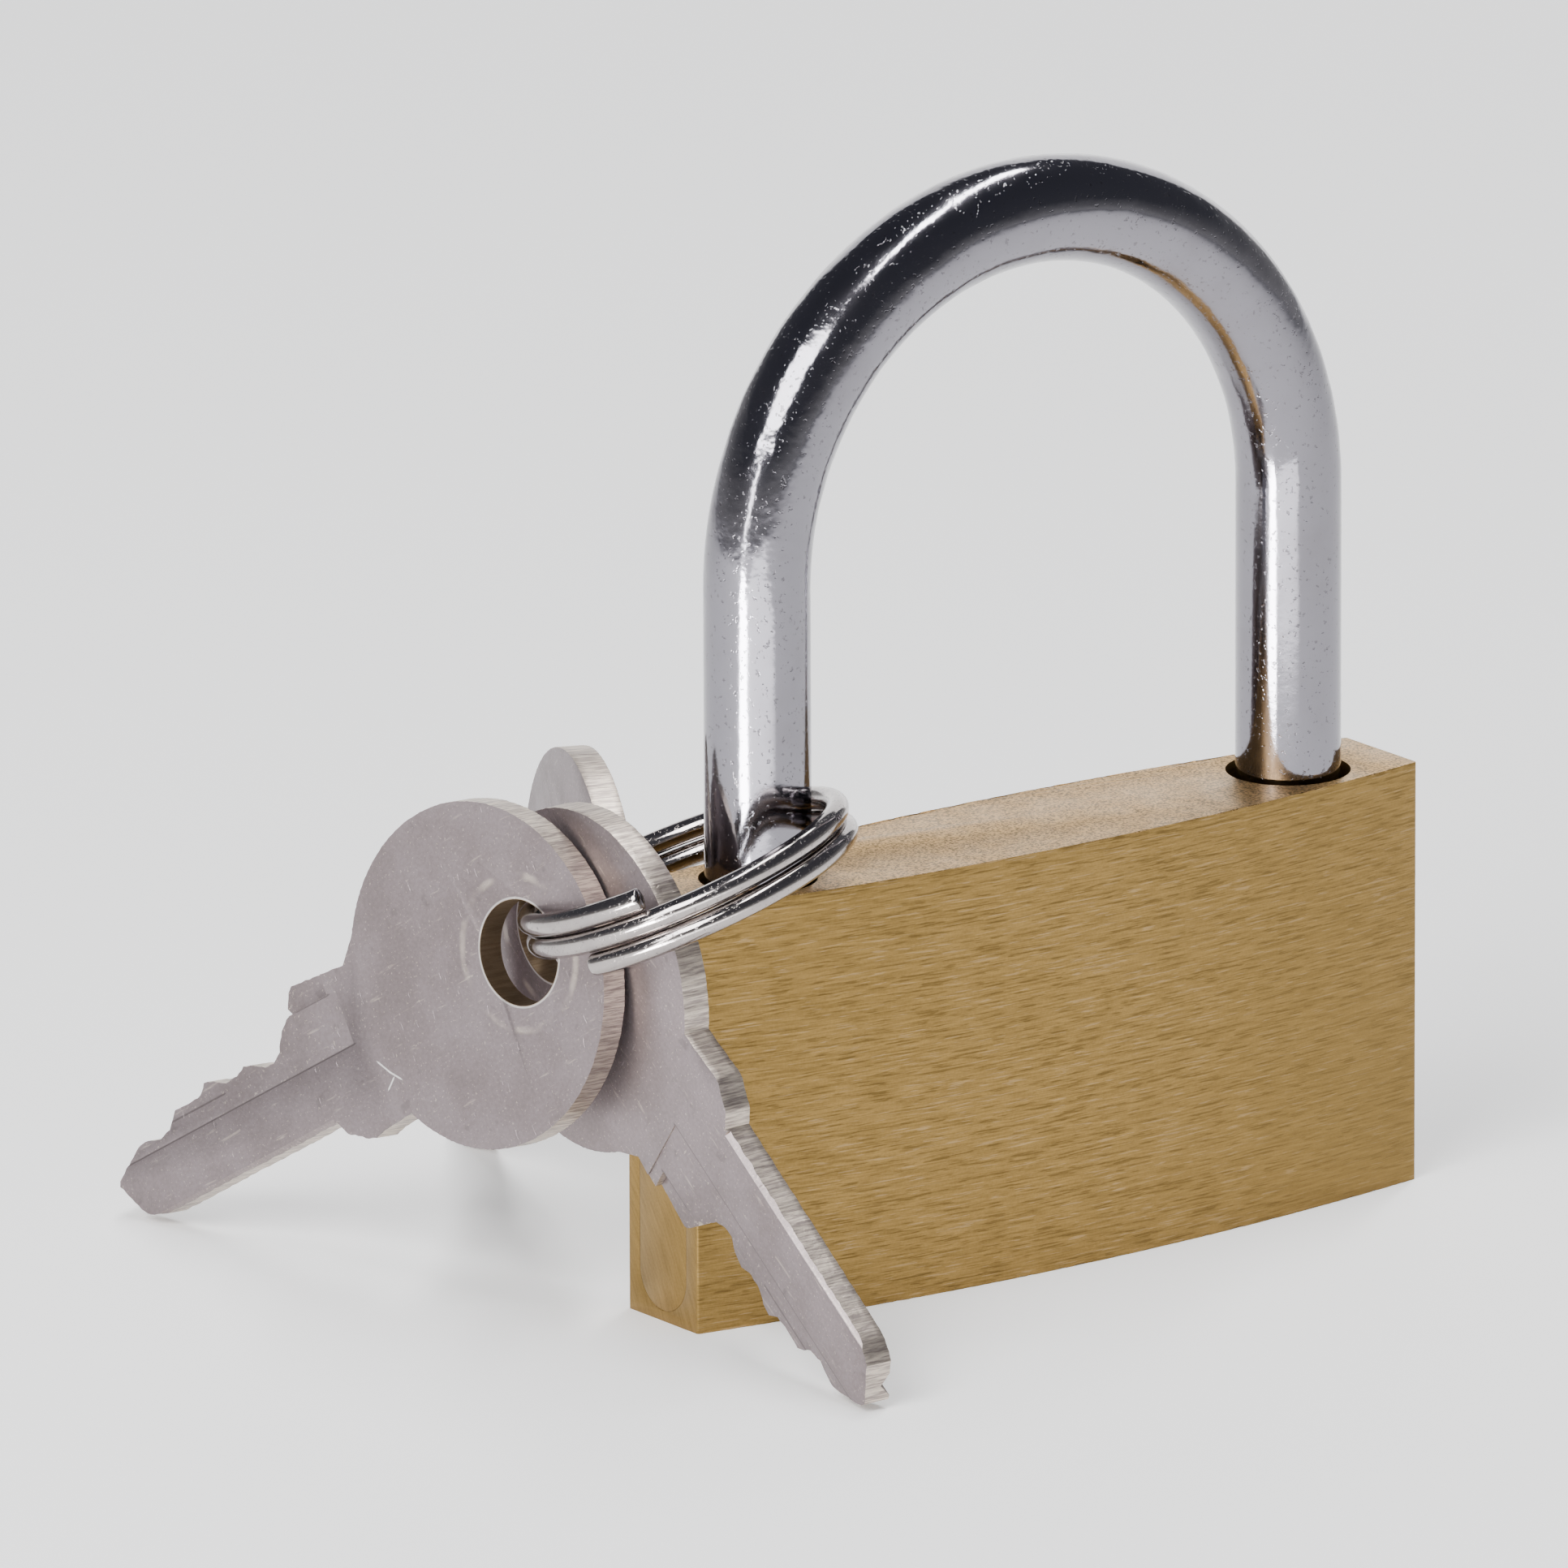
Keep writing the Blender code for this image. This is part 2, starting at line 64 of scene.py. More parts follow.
Piece = bpy.types.Object
Material = bpy.types.Material
Socket = bpy.types.NodeSocket
Point2 = tuple[float, float]
Point3 = Sequence[float]
Line = tuple[Point2, Point2]
Input = Union["Field", Socket, float, Sequence[float]]

# Stretches of a noise's range: all that it mostly covers, its middle, and only its highest spots
WHOLE = (0.3, 0.7)
MIDDLE = (0.35, 0.65)
PEAKS = (0.62, 0.7)


# ---- Shader graphs ----


class Field:
    """A number that varies over a surface. Arithmetic on it adds Math nodes."""

    def __init__(self, graph: "Graph", socket: Socket) -> None:
        """Wraps a node's output socket."""
        self.graph = graph
        self.socket = socket

    def _math(self, operation: str, first: Input, second: Input = 0.0) -> "Field":
        """Adds one Math node and wraps its result."""
        node = self.graph.add("ShaderNodeMath", {"operation": operation}, {0: first, 1: second})
        return Field(self.graph, node.outputs[0])

    def __add__(self, other: Input) -> "Field":
        """Field plus a number or a field."""
        return self._math("ADD", self, other)

    __radd__ = __add__

    def __sub__(self, other: Input) -> "Field":
        """Field minus a number or a field."""
        return self._math("SUBTRACT", self, other)

    def __rsub__(self, other: Input) -> "Field":
        """A number minus the field."""
        return self._math("SUBTRACT", other, self)

    def __mul__(self, other: Input) -> "Field":
        """Field times a number or a field."""
        return self._math("MULTIPLY", self, other)

    __rmul__ = __mul__

    def __abs__(self) -> "Field":
        """The field without its sign."""
        return self._math("ABSOLUTE", self)

    def most(self, other: Input) -> "Field":
        """The larger of this field and another value."""
        return self._math("MAXIMUM", self, other)

    def step(self, low: float, high: float, to_low: float = 0.0, to_high: float = 1.0) -> "Field":
        """Carries a range of the field smoothly to another range, and holds it beyond both ends.

        Args:
            low: the field's value that gives to_low.
            high: the field's value that gives to_high.
            to_low: the result at and below low.
            to_high: the result at and above high.

        Returns:
            The carried field.
        """
        sockets = {"Value": self, "From Min": low, "From Max": high}
        sockets |= {"To Min": to_low, "To Max": to_high}
        node = self.graph.add("ShaderNodeMapRange", {"interpolation_type": "SMOOTHSTEP"}, sockets)
        return Field(self.graph, node.outputs["Result"])

    def fade(self, low: float, high: float) -> "Field":
        """One where the field is at or below low, and smoothly nothing from high on."""
        return self.step(low, high, 1.0, 0.0)


class Nodes:
    """A node tree, and the one way to add nodes to it."""

    def __init__(self, tree: bpy.types.NodeTree) -> None:
        """Wraps the tree of a material or of the world."""
        self.tree = tree

    def add(
        self, kind: str, settings: dict | None = None, sockets: dict | None = None
    ) -> bpy.types.Node:
        """Adds a node, sets it up, and then fills its sockets.

        Args:
            kind: the node's Blender type.
            settings: the node's own settings. "stops" are a colour ramp's (position, colour) pairs.
            sockets: a value, a field or a socket for each input, by its name or its place.

        Returns:
            The new node.
        """
        node = self.tree.nodes.new(kind)
        for key, setting in (settings or {}).items():
            if key == "stops":
                self._fill_ramp(node.color_ramp, setting)
            else:
                setattr(node, key, setting)
        for key, value in (sockets or {}).items():
            self.feed(node.inputs[key], value)
        return node

    @staticmethod
    def _fill_ramp(ramp: bpy.types.ColorRamp, stops: Sequence[tuple[float, Point3]]) -> None:
        """Gives a colour ramp its stops."""
        while len(ramp.elements) < len(stops):
            ramp.elements.new(1.0)
        for element, (position, color) in zip(ramp.elements, stops):
            element.position = position
            element.color = (*color, 1.0)

    def feed(self, socket: Socket, value: Input) -> None:
        """Links or sets one input socket.

        Args:
            socket: the input.
            value: a field or an output to link, or a number, a vector or a colour to set.
        """
        if isinstance(value, Field):
            self.tree.links.new(value.socket, socket)
        elif isinstance(value, Socket):
            self.tree.links.new(value, socket)
        elif isinstance(value, (int, float)):
            socket.default_value = value
        elif socket.type == "RGBA" and len(value) == 3:
            socket.default_value = (*value, 1.0)
        else:
            socket.default_value = value


class Graph(Nodes):
    """One material's node tree, with a Principled shader at its end."""

    def __init__(self, name: str) -> None:
        """Starts a new material."""
        self.material = bpy.data.materials.new(name)
        self.material.use_nodes = True
        super().__init__(self.material.node_tree)
        self.shader = self.tree.nodes["Principled BSDF"]
        place = self.add("ShaderNodeTexCoord")
        self.place = place.outputs["Object"]
        self.facing = place.outputs["Normal"]

    def stretched(
        self, factors: Point3, source: Socket | None = None
    ) -> Socket:
        """The place on the piece with each of its axes scaled, so that a texture stretches."""
        sockets = {0: source or self.place, 1: tuple(factors)}
        return self.add("ShaderNodeVectorMath", {"operation": "MULTIPLY"}, sockets).outputs[0]

    def noise(self, scale: float, detail: float = 3.0, place: Socket | None = None) -> Field:
        """A noise of about a given number of cells a metre."""
        sockets = {"Vector": place or self.place, "Scale": scale, "Detail": detail}
        sockets["Roughness"] = 0.6
        return Field(self, self.add("ShaderNodeTexNoise", None, sockets).outputs[0])

    def streaks(self, along: Point3, scale: float, detail: float = 2.0) -> Field:
        """Noise drawn out into lines: each axis of along holds how dense the lines are on it."""
        return self.noise(scale, detail, self.stretched(along))

    def part(self, source: Socket, axis: str) -> Field:
        """One axis of a vector."""
        return Field(self, self.add("ShaderNodeSeparateXYZ", None, {0: source}).outputs[axis])

    def length(self, source: Socket) -> Field:
        """A vector's length."""
        node = self.add("ShaderNodeVectorMath", {"operation": "LENGTH"}, {0: source})
        return Field(self, node.outputs["Value"])

    def shifted(self, offset: Point3) -> Socket:
        """The place on the piece measured from another point."""
        sockets = {0: self.place, 1: tuple(offset)}
        return self.add("ShaderNodeVectorMath", {"operation": "SUBTRACT"}, sockets).outputs[0]

    def blend(self, factor: Input, first: Input, second: Input) -> Socket:
        """A colour between two colours."""
        sockets = {"Factor": factor, 6: first, 7: second}
        return self.add("ShaderNodeMix", {"data_type": "RGBA"}, sockets).outputs[2]

    def line(self, start: Point2, end: Point2, half_width: float) -> Field:
        """One along a thin straight scratch on a piece's local XY plane, and nothing away from it.

        Args:
            start: where the scratch begins, in millimetres.
            end: where it ends.
            half_width: half its width, in metres.

        Returns:
            The scratch as a mask.
        """
        reach = math.dist(start, end)
        dx, dy = (end[0] - start[0]) / reach, (end[1] - start[1]) / reach
        x = self.part(self.place, "X") - start[0] * MM
        y = self.part(self.place, "Y") - start[1] * MM
        along, beside = x * dx + y * dy, abs(y * dx - x * dy)
        outside = (abs(along - reach * MM / 2) - reach * MM / 2).most(0.0)
        return (beside + outside * 0.3).fade(0.4 * half_width, half_width)

    def bump(self, height: Field, distance: float, strength: float = 1.0) -> None:
        """Presses a height field into the surface.

        Args:
            height: the relief, about 0 to 1.
            distance: how deep the relief is, in metres.
            strength: how much of it shows.
        """
        sockets = {"Height": height, "Distance": distance, "Strength": strength}
        bump = self.add("ShaderNodeBump", None, sockets)
        self.feed(self.shader.inputs["Normal"], bump.outputs[0])

    def finish(self, color: Input, roughness: Input, metallic: Input = 1.0) -> Material:
        """Feeds the shader.

        Args:
            color: the base colour.
            roughness: how matt the surface is.
            metallic: one for metal.

        Returns:
            The finished material.
        """
        surface = {"Base Color": color, "Roughness": roughness, "Metallic": metallic}
        for name, value in surface.items():
            self.feed(self.shader.inputs[name], value)
        return self.material


# ---- Finishes ----


def darker(color: Point3, share: float) -> Point3:
    """A colour with each of its parts cut to a share."""
    return tuple(share * part for part in color)


class Grain(Enum):
    """How a brass face was worked."""

    BRUSHED_BLOCK = "long strokes on the faces, arcs on the ends"
    TURNED = "rings left by a lathe"


@dataclass(frozen=True)
class BrassFinish:
    """Worked brass: fine strokes, a little tarnish, bright scratches and painted shade toward the
    lower right.
    """

    name: str
    grain: Grain
    color: Point3 = (0.33, 0.21, 0.070)
    tarnish_and_shade: Point3 = (0.175, 0.110, 0.033)
    pale: Point3 = (0.50, 0.35, 0.19)
    top: Point3 = (0.74, 0.47, 0.20)
    roughness: float = 0.36
    relief: float = 0.00002

    def build(self) -> Material:
        """Makes the material."""
        graph = Graph(self.name)
        return self._turned(graph) if self.grain is Grain.TURNED else self._brushed(graph)

    def _brushed(self, graph: Graph) -> Material:
        """Brushed brass: strokes on the faces, arcs on the ends, grit on the top, and painted shade
        toward the lower right.
        """
        top = abs(graph.part(graph.facing, "Z")).step(0.75, 0.95)
        end = abs(graph.part(graph.facing, "X")).step(0.8, 0.97)
        fine = graph.streaks((1.0, 1.0, 26.0), 400.0, 4.0)
        broad = graph.streaks((1.0, 1.0, 22.0), 80.0, 3.0)
        front = fine * 0.92 + broad * 0.08
        arcs = self._end_arcs(graph)
        mix = graph.add("ShaderNodeMix", None, {0: end, 2: front, 3: arcs})
        stroke = Field(graph, mix.outputs[0])
        dashes = graph.streaks((1.0, 1.0, 17.0), 480.0, 2.0)
        dark_marks = dashes.step(0.57, 0.64) * (1 - end)
        light_marks = dashes.step(0.4, 0.32) * (1 - end)
        across, up = graph.part(graph.place, "X"), graph.part(graph.place, "Z")
        # Painted shade: a mask that darkens the block toward its lower right, where the light falls
        # off.
        painted_shade_low_right = across.step(0.0, 0.024) * up.step(0.022, 0.002, 0.4, 1.0)
        cloud = graph.noise(60.0, 3.0).step(0.35, 0.7)
        grit = graph.noise(7000.0, 2.0)
        polish = stroke.step(0.26, 0.7) * 0.8 + grit.step(*WHOLE) * 0.2
        base = graph.blend(polish, self.tarnish_and_shade, self.color)
        base = graph.blend(cloud * 0.15, base, self.tarnish_and_shade)
        base = graph.blend(dark_marks * 0.6, base, darker(self.tarnish_and_shade, 0.55))
        base = graph.blend(light_marks * 0.35, base, self.pale)
        # Painted shade toward the lower right, laid on in the dark brass colour.
        base = graph.blend(painted_shade_low_right * 0.6, base, self.tarnish_and_shade)
        gritty = graph.blend(grit.step(0.35, 0.6), self.tarnish_and_shade, self.top)
        base = graph.blend(top * 0.8, base, gritty)
        relief = stroke * (0.8 - end * 0.5) + light_marks * 0.2 - dark_marks * 0.3
        graph.bump(relief + grit * top * 1.5, self.relief, 0.5)
        rough = stroke.step(*WHOLE, self.roughness + 0.06, self.roughness - 0.04) + top * 0.06
        return graph.finish(base, rough)

    @staticmethod
    def _end_arcs(graph: Graph) -> Field:
        """Strokes that swing in arcs over the body's narrow ends."""
        far = graph.length(graph.stretched((0.0, 1.0, 1.0), graph.shifted((0.0, 0.03, -0.012))))
        sockets = {0: far * 9.0, 1: graph.part(graph.place, "Z")}
        bent = graph.add("ShaderNodeCombineXYZ", None, sockets).outputs[0]
        return graph.noise(420.0, 3.0, bent) * 0.5 + 0.25

    def _turned(self, graph: Graph) -> Material:
        """Lathe-turned brass, as on pins and plugs."""
        rings = graph.streaks((3.0, 3.0, 20.0), 300.0, 3.0)
        base = graph.blend(rings.step(*MIDDLE), self.tarnish_and_shade, self.color)
        base = graph.blend(graph.noise(260.0).step(0.5, 0.7) * 0.3, base, self.pale)
        graph.bump(rings, 0.000015, 0.5)
        return graph.finish(base, rings.step(*WHOLE, self.roughness, self.roughness - 0.08))


@dataclass(frozen=True)
class PlateFinish:
    """Bright plating over steel, with pits and a wavy skin where the rod was bent."""

    name: str
    color: Point3 = (0.24, 0.232, 0.258)
    stain: Point3 = (0.175, 0.16, 0.175)
    roughness: float = 0.095
    pit_scale: float = 1500.0
    pit_depth: float = 0.00002
    wave_from: float | None = None
    wave_rise: float = 0.006

    def build(self) -> Material:
        """Makes the material."""
        graph = Graph(self.name)
        pits = graph.noise(self.pit_scale, 3.0)
        cloud = graph.noise(self.pit_scale / 8.0, 4.0)
        specks = graph.noise(self.pit_scale * 2.4, 2.0).step(*PEAKS)
        base = graph.blend(cloud.step(0.45, 0.75) * 0.35, self.color, self.stain)
        base = graph.blend(specks * 0.55, base, darker(self.stain, 0.7))
        relief = pits * 0.5 - specks * 0.6
        if self.wave_from is not None:
            bend = graph.part(graph.place, "Z").step(
                self.wave_from, self.wave_from + self.wave_rise
            )
            wave = graph.noise(self.pit_scale / 3.5, 3.0)
            toward_toe = graph.part(graph.place, "X").step(0.004, -0.014)
            relief = relief + wave * bend * 2.2 + wave * bend * toward_toe * 3.0
        graph.bump(relief, self.pit_depth, 0.6)
        return graph.finish(base, cloud.step(0.35, 0.75, self.roughness, self.roughness + 0.07))


# Painted shade: dark lines that lie along the key's milled steps, where their creases fall in
# shade, in millimetres from its hole
LEDGE_SHADE_LINES = (
    ((14.2, 0.12), (38.0, 0.12)),
    ((14.9, -3.05), (17.6, -3.05)),
    ((25.0, -0.9), (30.0, -0.9)),
)


@dataclass(frozen=True)
class KeyFinish:
    """Satin nickel on the faces, bright torn metal on the punched edges, and a painted highlight
    round the hole's rim.
    """

    name: str
    color: Point3 = (0.285, 0.24, 0.248)
    shade: Point3 = (0.20, 0.165, 0.164)
    # For real smudges, and for the painted shade along the milled steps.
    smudge_and_shade: Point3 = (0.12, 0.10, 0.10)
    edge: Point3 = (0.80, 0.70, 0.58)
    warm: Point3 = (0.20, 0.135, 0.07)
    # For the bright scratches, and for the painted highlight round the hole's rim.
    bright: Point3 = (0.90, 0.88, 0.86)
    roughness: float = 0.38
    relief: float = 0.00003
    mark_radius: float = 0.0043
    # The radii of the hole's bevelled rim, where a highlight is painted.
    rim_highlight: Point2 = (0.00296, 0.0031)
    scratches: tuple[Line, ...] = ()
    scratch_width: float = 0.00007
    # Painted shade: the dark lines along the milled steps, and their width.
    ledge_shade_lines: tuple[Line, ...] = LEDGE_SHADE_LINES
    ledge_shade_width: float = 0.00008

    def build(self) -> Material:
        """Makes the material."""
        graph = Graph(self.name)
        wall = abs(graph.part(graph.facing, "Z")).fade(0.35, 0.8)
        cloud = graph.noise(150.0, 4.0)
        grain = graph.noise(4200.0, 2.0)
        scuff = graph.streaks((1.0, 7.0, 1.0), 330.0, 3.0).step(0.62, 0.75)
        nick = graph.streaks((5.0, 1.0, 1.0), 700.0, 1.0).step(0.72, 0.77)
        torn = graph.streaks((20.0, 20.0, 1.5), 420.0, 3.0)
        radius = graph.length(graph.stretched((1.0, 1.0, 0.0)))
        mark = (abs(radius - self.mark_radius) * (1.0 / MM)).fade(0.05, 0.32)
        mark = mark * graph.noise(240.0).step(0.45, 0.6)
        inside = radius.fade(*self.rim_highlight)
        spots = graph.noise(700.0, 3.0).step(*PEAKS) * (1 - wall)
        dull = cloud.step(0.35, 0.7) * 0.7 + grain.step(*MIDDLE) * 0.3
        base = graph.blend(dull, self.color, self.shade)
        base = graph.blend(scuff * 0.3, base, self.edge)
        base = graph.blend(mark * 0.35, base, self.edge)
        base = graph.blend(spots * 0.3, base, self.smudge_and_shade)
        edge = graph.blend(torn.step(0.34, 0.66, 0.15, 0.75), self.shade, self.edge)
        base = graph.blend(wall, base, edge)
        base = graph.blend(inside * 0.85, base, self.warm)
        sparks = graph.noise(5200.0, 2.0).step(*PEAKS) * (1 - wall)
        # Painted highlight: a bright band on the bevel round the hole.
        rim_highlight = radius.step(self.rim_highlight[0], 0.003) * radius.fade(0.00306, 0.00311)
        base = graph.blend(sparks * 0.3, base, self.edge)
        base = graph.blend(rim_highlight * 0.5, base, self.bright)
        # Painted shade: dark lines in the smudge colour along the milled steps' creases.
        drawn = [(line, self.ledge_shade_width, self.smudge_and_shade) for line in self.ledge_shade_lines]
        drawn += [(line, self.scratch_width, self.bright) for line in self.scratches]
        for (start, end), width, color in drawn:
            base = graph.blend(graph.line(start, end, width) * (1 - wall) * 0.8, base, color)
        crumble = graph.noise(2600.0, 3.0) * wall
        relief = grain * 0.35 + torn * wall * 0.5 + crumble * 0.7 - nick * 0.8 - mark * 0.5
        graph.bump(relief, self.relief, 0.8)
        rough = cloud.step(*WHOLE, self.roughness, self.roughness + 0.08) + wall * 0.04
        return graph.finish(base, rough)


@dataclass(frozen=True)
class WireFinish:
    """Drawn spring wire."""

    name: str
    color: Point3 = (0.5, 0.5, 0.52)

    def build(self) -> Material:
        """Makes the material."""
        graph = Graph(self.name)
        drawn = graph.noise(2500.0, 2.0)
        base = graph.blend(drawn.step(*MIDDLE), darker(self.color, 0.8), self.color)
        graph.bump(drawn, 0.00001, 0.4)
        return graph.finish(base, drawn.step(*WHOLE, 0.24, 0.34))


# ---- Mesh work ----


def arc(centre: Point2, radius: float, start: float, end: float, steps: int) -> list[Point2]:
    """Points along an arc, with its angles in degrees."""
    angles = (math.radians(start + (end - start) * i / steps) for i in range(steps + 1))
    return [(centre[0] + radius * math.cos(a), centre[1] + radius * math.sin(a)) for a in angles]


def dense(outline: Sequence[Point2], spacing: float) -> list[Point2]:
    """Adds points to a closed outline.

    Args:
        outline: the corners, in order.
        spacing: the longest side allowed.

    Returns:
        The outline with every longer side divided.
    """
    points = []
    for here, there in zip(outline, [*outline[1:], outline[0]]):
        steps = max(1, math.ceil(math.dist(here, there) / spacing))
        for i in range(steps):
            t = i / steps
            points.append((here[0] + (there[0] - here[0]) * t, here[1] + (there[1] - here[1]) * t))
    return points


def stadium(low_y: float, high_y: float, radius: float, steps: int = 32) -> list[Point2]:
    """A slot outline, round at both ends, that stands along local Y."""
    return arc((0, high_y), radius, 0, 180, steps) + arc((0, low_y), radius, 180, 360, steps)


def add_object(name: str, bm: bmesh.types.BMesh, matrix: Matrix | None = None) -> Piece:
    """Puts a bmesh into the scene.

    Args:
        name: the new object's name.
        bm: the mesh, in millimetres. It is freed.
        matrix: where the object stands.

    Returns:
        The new object, in metres.
    """
    bmesh.ops.recalc_face_normals(bm, faces=bm.faces)
    bmesh.ops.scale(bm, verts=bm.verts, vec=(MM, MM, MM))
    mesh = bpy.data.meshes.new(name)
    bm.to_mesh(mesh)
    bm.free()
    obj = bpy.data.objects.new(name, mesh)
    bpy.context.scene.collection.objects.link(obj)
    if matrix is not None:
        obj.matrix_world = matrix
    return obj


def along(start: Point3, direction: Point3) -> Matrix:
    """Carries local +Z at the origin to a direction at a point given in millimetres."""
    turn = Vector(direction).to_track_quat("Z", "Y").to_matrix().to_4x4()
    return Matrix.Translation(Vector(start) * MM) @ turn


def skin(bm: bmesh.types.BMesh, rings: Sequence[list]) -> None:
    """Closes both ends and the sides of a run of rings of points."""
    bm.faces.new(list(reversed(rings[0])))
    bm.faces.new(rings[-1])
    for lower, upper in zip(rings, rings[1:]):
        for i, corner in enumerate(lower):
            follow = (i + 1) % len(lower)
            bm.faces.new((corner, lower[follow], upper[follow], upper[i]))


def prism(
    name: str,
    outline: Sequence[Point2],
    low: float,
    high: float,
    matrix: Matrix | None = None,
    between: Sequence[float] = (),
) -> Piece:
    """A straight prism on an outline.

    Args:
        name: the new object's name.
        outline: the section's points, in order.
        low: where the prism starts on local Z.
        high: where it ends.
        matrix: where the object stands.
        between: heights where its side has more rows of points.

    Returns:
        The new object.
    """
    bm = bmesh.new()
    skin(bm, [[bm.verts.new((x, y, z)) for x, y in outline] for z in (low, *between, high)])
    return add_object(name, bm, matrix)


def cylinder(
    name: str, radius: float, start: Point3, end: Point3, segments: int = 96
) -> Piece:
    """A cylinder between two points.

    Args:
        name: the new object's name.
        radius: its radius, in millimetres.
        start: the middle of its first end.
        end: the middle of its other end.
        segments: how many sides it has.

    Returns:
        The new object.
    """
    start, end = Vector(start), Vector(end)
    length = (end - start).length
    bm = bmesh.new()
    bmesh.ops.create_cone(
        bm, cap_ends=True, segments=segments, radius1=radius, radius2=radius, depth=length
    )
    bmesh.ops.translate(bm, verts=bm.verts, vec=(0, 0, length / 2))
    return add_object(name, bm, along(start, end - start))


def block(name: str, low: Point3, high: Point3, matrix: Matrix | None = None) -> Piece:
    """A box between two corners in its own frame, to cut with."""
    outline = [(low[0], low[1]), (high[0], low[1]), (high[0], high[1]), (low[0], high[1])]
    return prism(name, outline, low[2], high[2], matrix)


def washer(
    centre: Point2, low: float, high: float, outer: float, inner: float
) -> Piece:
    """A flat ring round an upright axis, to turn a groove with.

    Args:
        centre: the axis's x and y.
        low: the ring's lower face.
        high: its upper face.
        outer: its outer radius.
        inner: its inner radius.

    Returns:
        The new object.
    """
    ring = cylinder("washer", outer, (*centre, low), (*centre, high))
    carve(ring, [cylinder("core", inner, (*centre, low - 1), (*centre, high + 1))])
    return ring


def tube(
    name: str, path: Sequence[Vector], radius: float, sides: int, origin: Vector | None = None
) -> Piece:
    """A round rod along a path, with flat ends.

    Args:
        name: the new object's name.
        path: the rod's centre line, in millimetres.
        radius: the rod's radius.
        sides: how many sides it has.
        origin: the object's own origin, in millimetres.

    Returns:
        The new object.
    """
    origin = origin or Vector((0, 0, 0))
    bm = bmesh.new()
    tangent = (path[1] - path[0]).normalized()
    across = tangent.orthogonal().normalized()
    rings = []
    for i, point in enumerate(path):
        ahead = path[min(i + 1, len(path) - 1)] - path[max(i - 1, 0)]
        ahead.normalize()
        across = (across - ahead * across.dot(ahead)).normalized()
        other = ahead.cross(across)
        ring = []
        for side in range(sides):
            angle = 2 * math.pi * side / sides
            offset = (across * math.cos(angle) + other * math.sin(angle)) * radius
            ring.append(bm.verts.new(point - origin + offset))
        rings.append(ring)
    skin(bm, rings)
    return add_object(name, bm, Matrix.Translation(origin * MM))


def apply_modifiers(obj: Piece) -> None:
    """Turns an object's modifiers into its own mesh."""
    bpy.context.view_layer.update()
    graph = bpy.context.evaluated_depsgraph_get()
    mesh = bpy.data.meshes.new_from_object(obj.evaluated_get(graph))
    obj.modifiers.clear()
    obj.data = mesh
    mesh.name = obj.name


def carve(
    obj: Piece, cutters: Iterable[Piece], operation: str = "DIFFERENCE"
) -> None:
    """Cuts tools from an object one by one, and removes them.

    Args:
        obj: the object.
        cutters: the tools.
        operation: "DIFFERENCE" to cut, or "UNION" to join them on.
    """
    for cutter in cutters:
        boolean = obj.modifiers.new(cutter.name, "BOOLEAN")
        boolean.operation = operation
        boolean.object = cutter
        apply_modifiers(obj)
        bpy.data.objects.remove(cutter, do_unlink=True)


def soften(obj: Piece, width: float, segments: int = 2, angle: float = 35.0) -> None:
    """Rounds an object's sharp edges.

    Args:
        obj: the object.
        width: the rounding's width in millimetres.
        segments: how many faces the rounding has.
        angle: an edge is sharp past this angle, in degrees.
    """
    bevel = obj.modifiers.new("soften", "BEVEL")
    bevel.width = width * MM
    bevel.segments = segments
    bevel.limit_method = "ANGLE"
    bevel.angle_limit = math.radians(angle)
    bevel.use_clamp_overlap = True
    apply_modifiers(obj)


def smooth(obj: Piece, angle: float = 32.0) -> None:
    """Shades an object smooth, with its sharp edges kept."""
    obj.data.shade_smooth()
    obj.data.set_sharp_from_angle(angle=math.radians(angle))


def settle_in_place(obj: Piece) -> None:
    """Moves an object's place into its mesh, so that its finish runs on from its neighbours'."""
    obj.data.transform(obj.matrix_world)
    obj.matrix_world = Matrix.Identity(4)


def dress(obj: Piece, material: Material) -> None:
    """Gives an object one material."""
    obj.data.materials.clear()
    obj.data.materials.append(material)


def jolt(
    obj: Piece, reach: Callable[[Vector], float], scale: float, amount: float, seed: float
) -> None:
    """Moves points along their normals by a noise, to leave dents and nicks.

    Args:
        obj: the object, whose points are in metres.
        reach: how much of the noise a point takes, from its place in millimetres.
        scale: the noise's cells to a millimetre.
        amount: the deepest dent, in millimetres.
        seed: shifts the noise, so that two pieces differ.
    """
    shift = Vector((seed, 2 * seed, 3 * seed))
    bm = bmesh.new()
    bm.from_mesh(obj.data)
    bm.normal_update()
    for vert in bm.verts:
        place = vert.co / MM
        share = reach(place)
        if share > 0:
            dent = max(0.0, noise.noise(place * scale + shift) + 0.1)
            vert.co -= vert.normal * (share * amount * MM * dent)
    bm.to_mesh(obj.data)
    bm.free()


def settle(piece: Piece, material: Material, body: str, node: str) -> None:
    """Dresses a piece and ties it to the frame.

    Args:
        piece: the visible piece.
        material: the finish that it wears.
        body: what it moves with.
        node: the frame's node that it stands for.
    """
    dress(piece, material)
    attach(piece, body)
    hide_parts(node)
    log.info("%s rides on %s: %d faces", piece.name, body, len(piece.data.polygons))


# ---- The lock body and what closes its holes ----


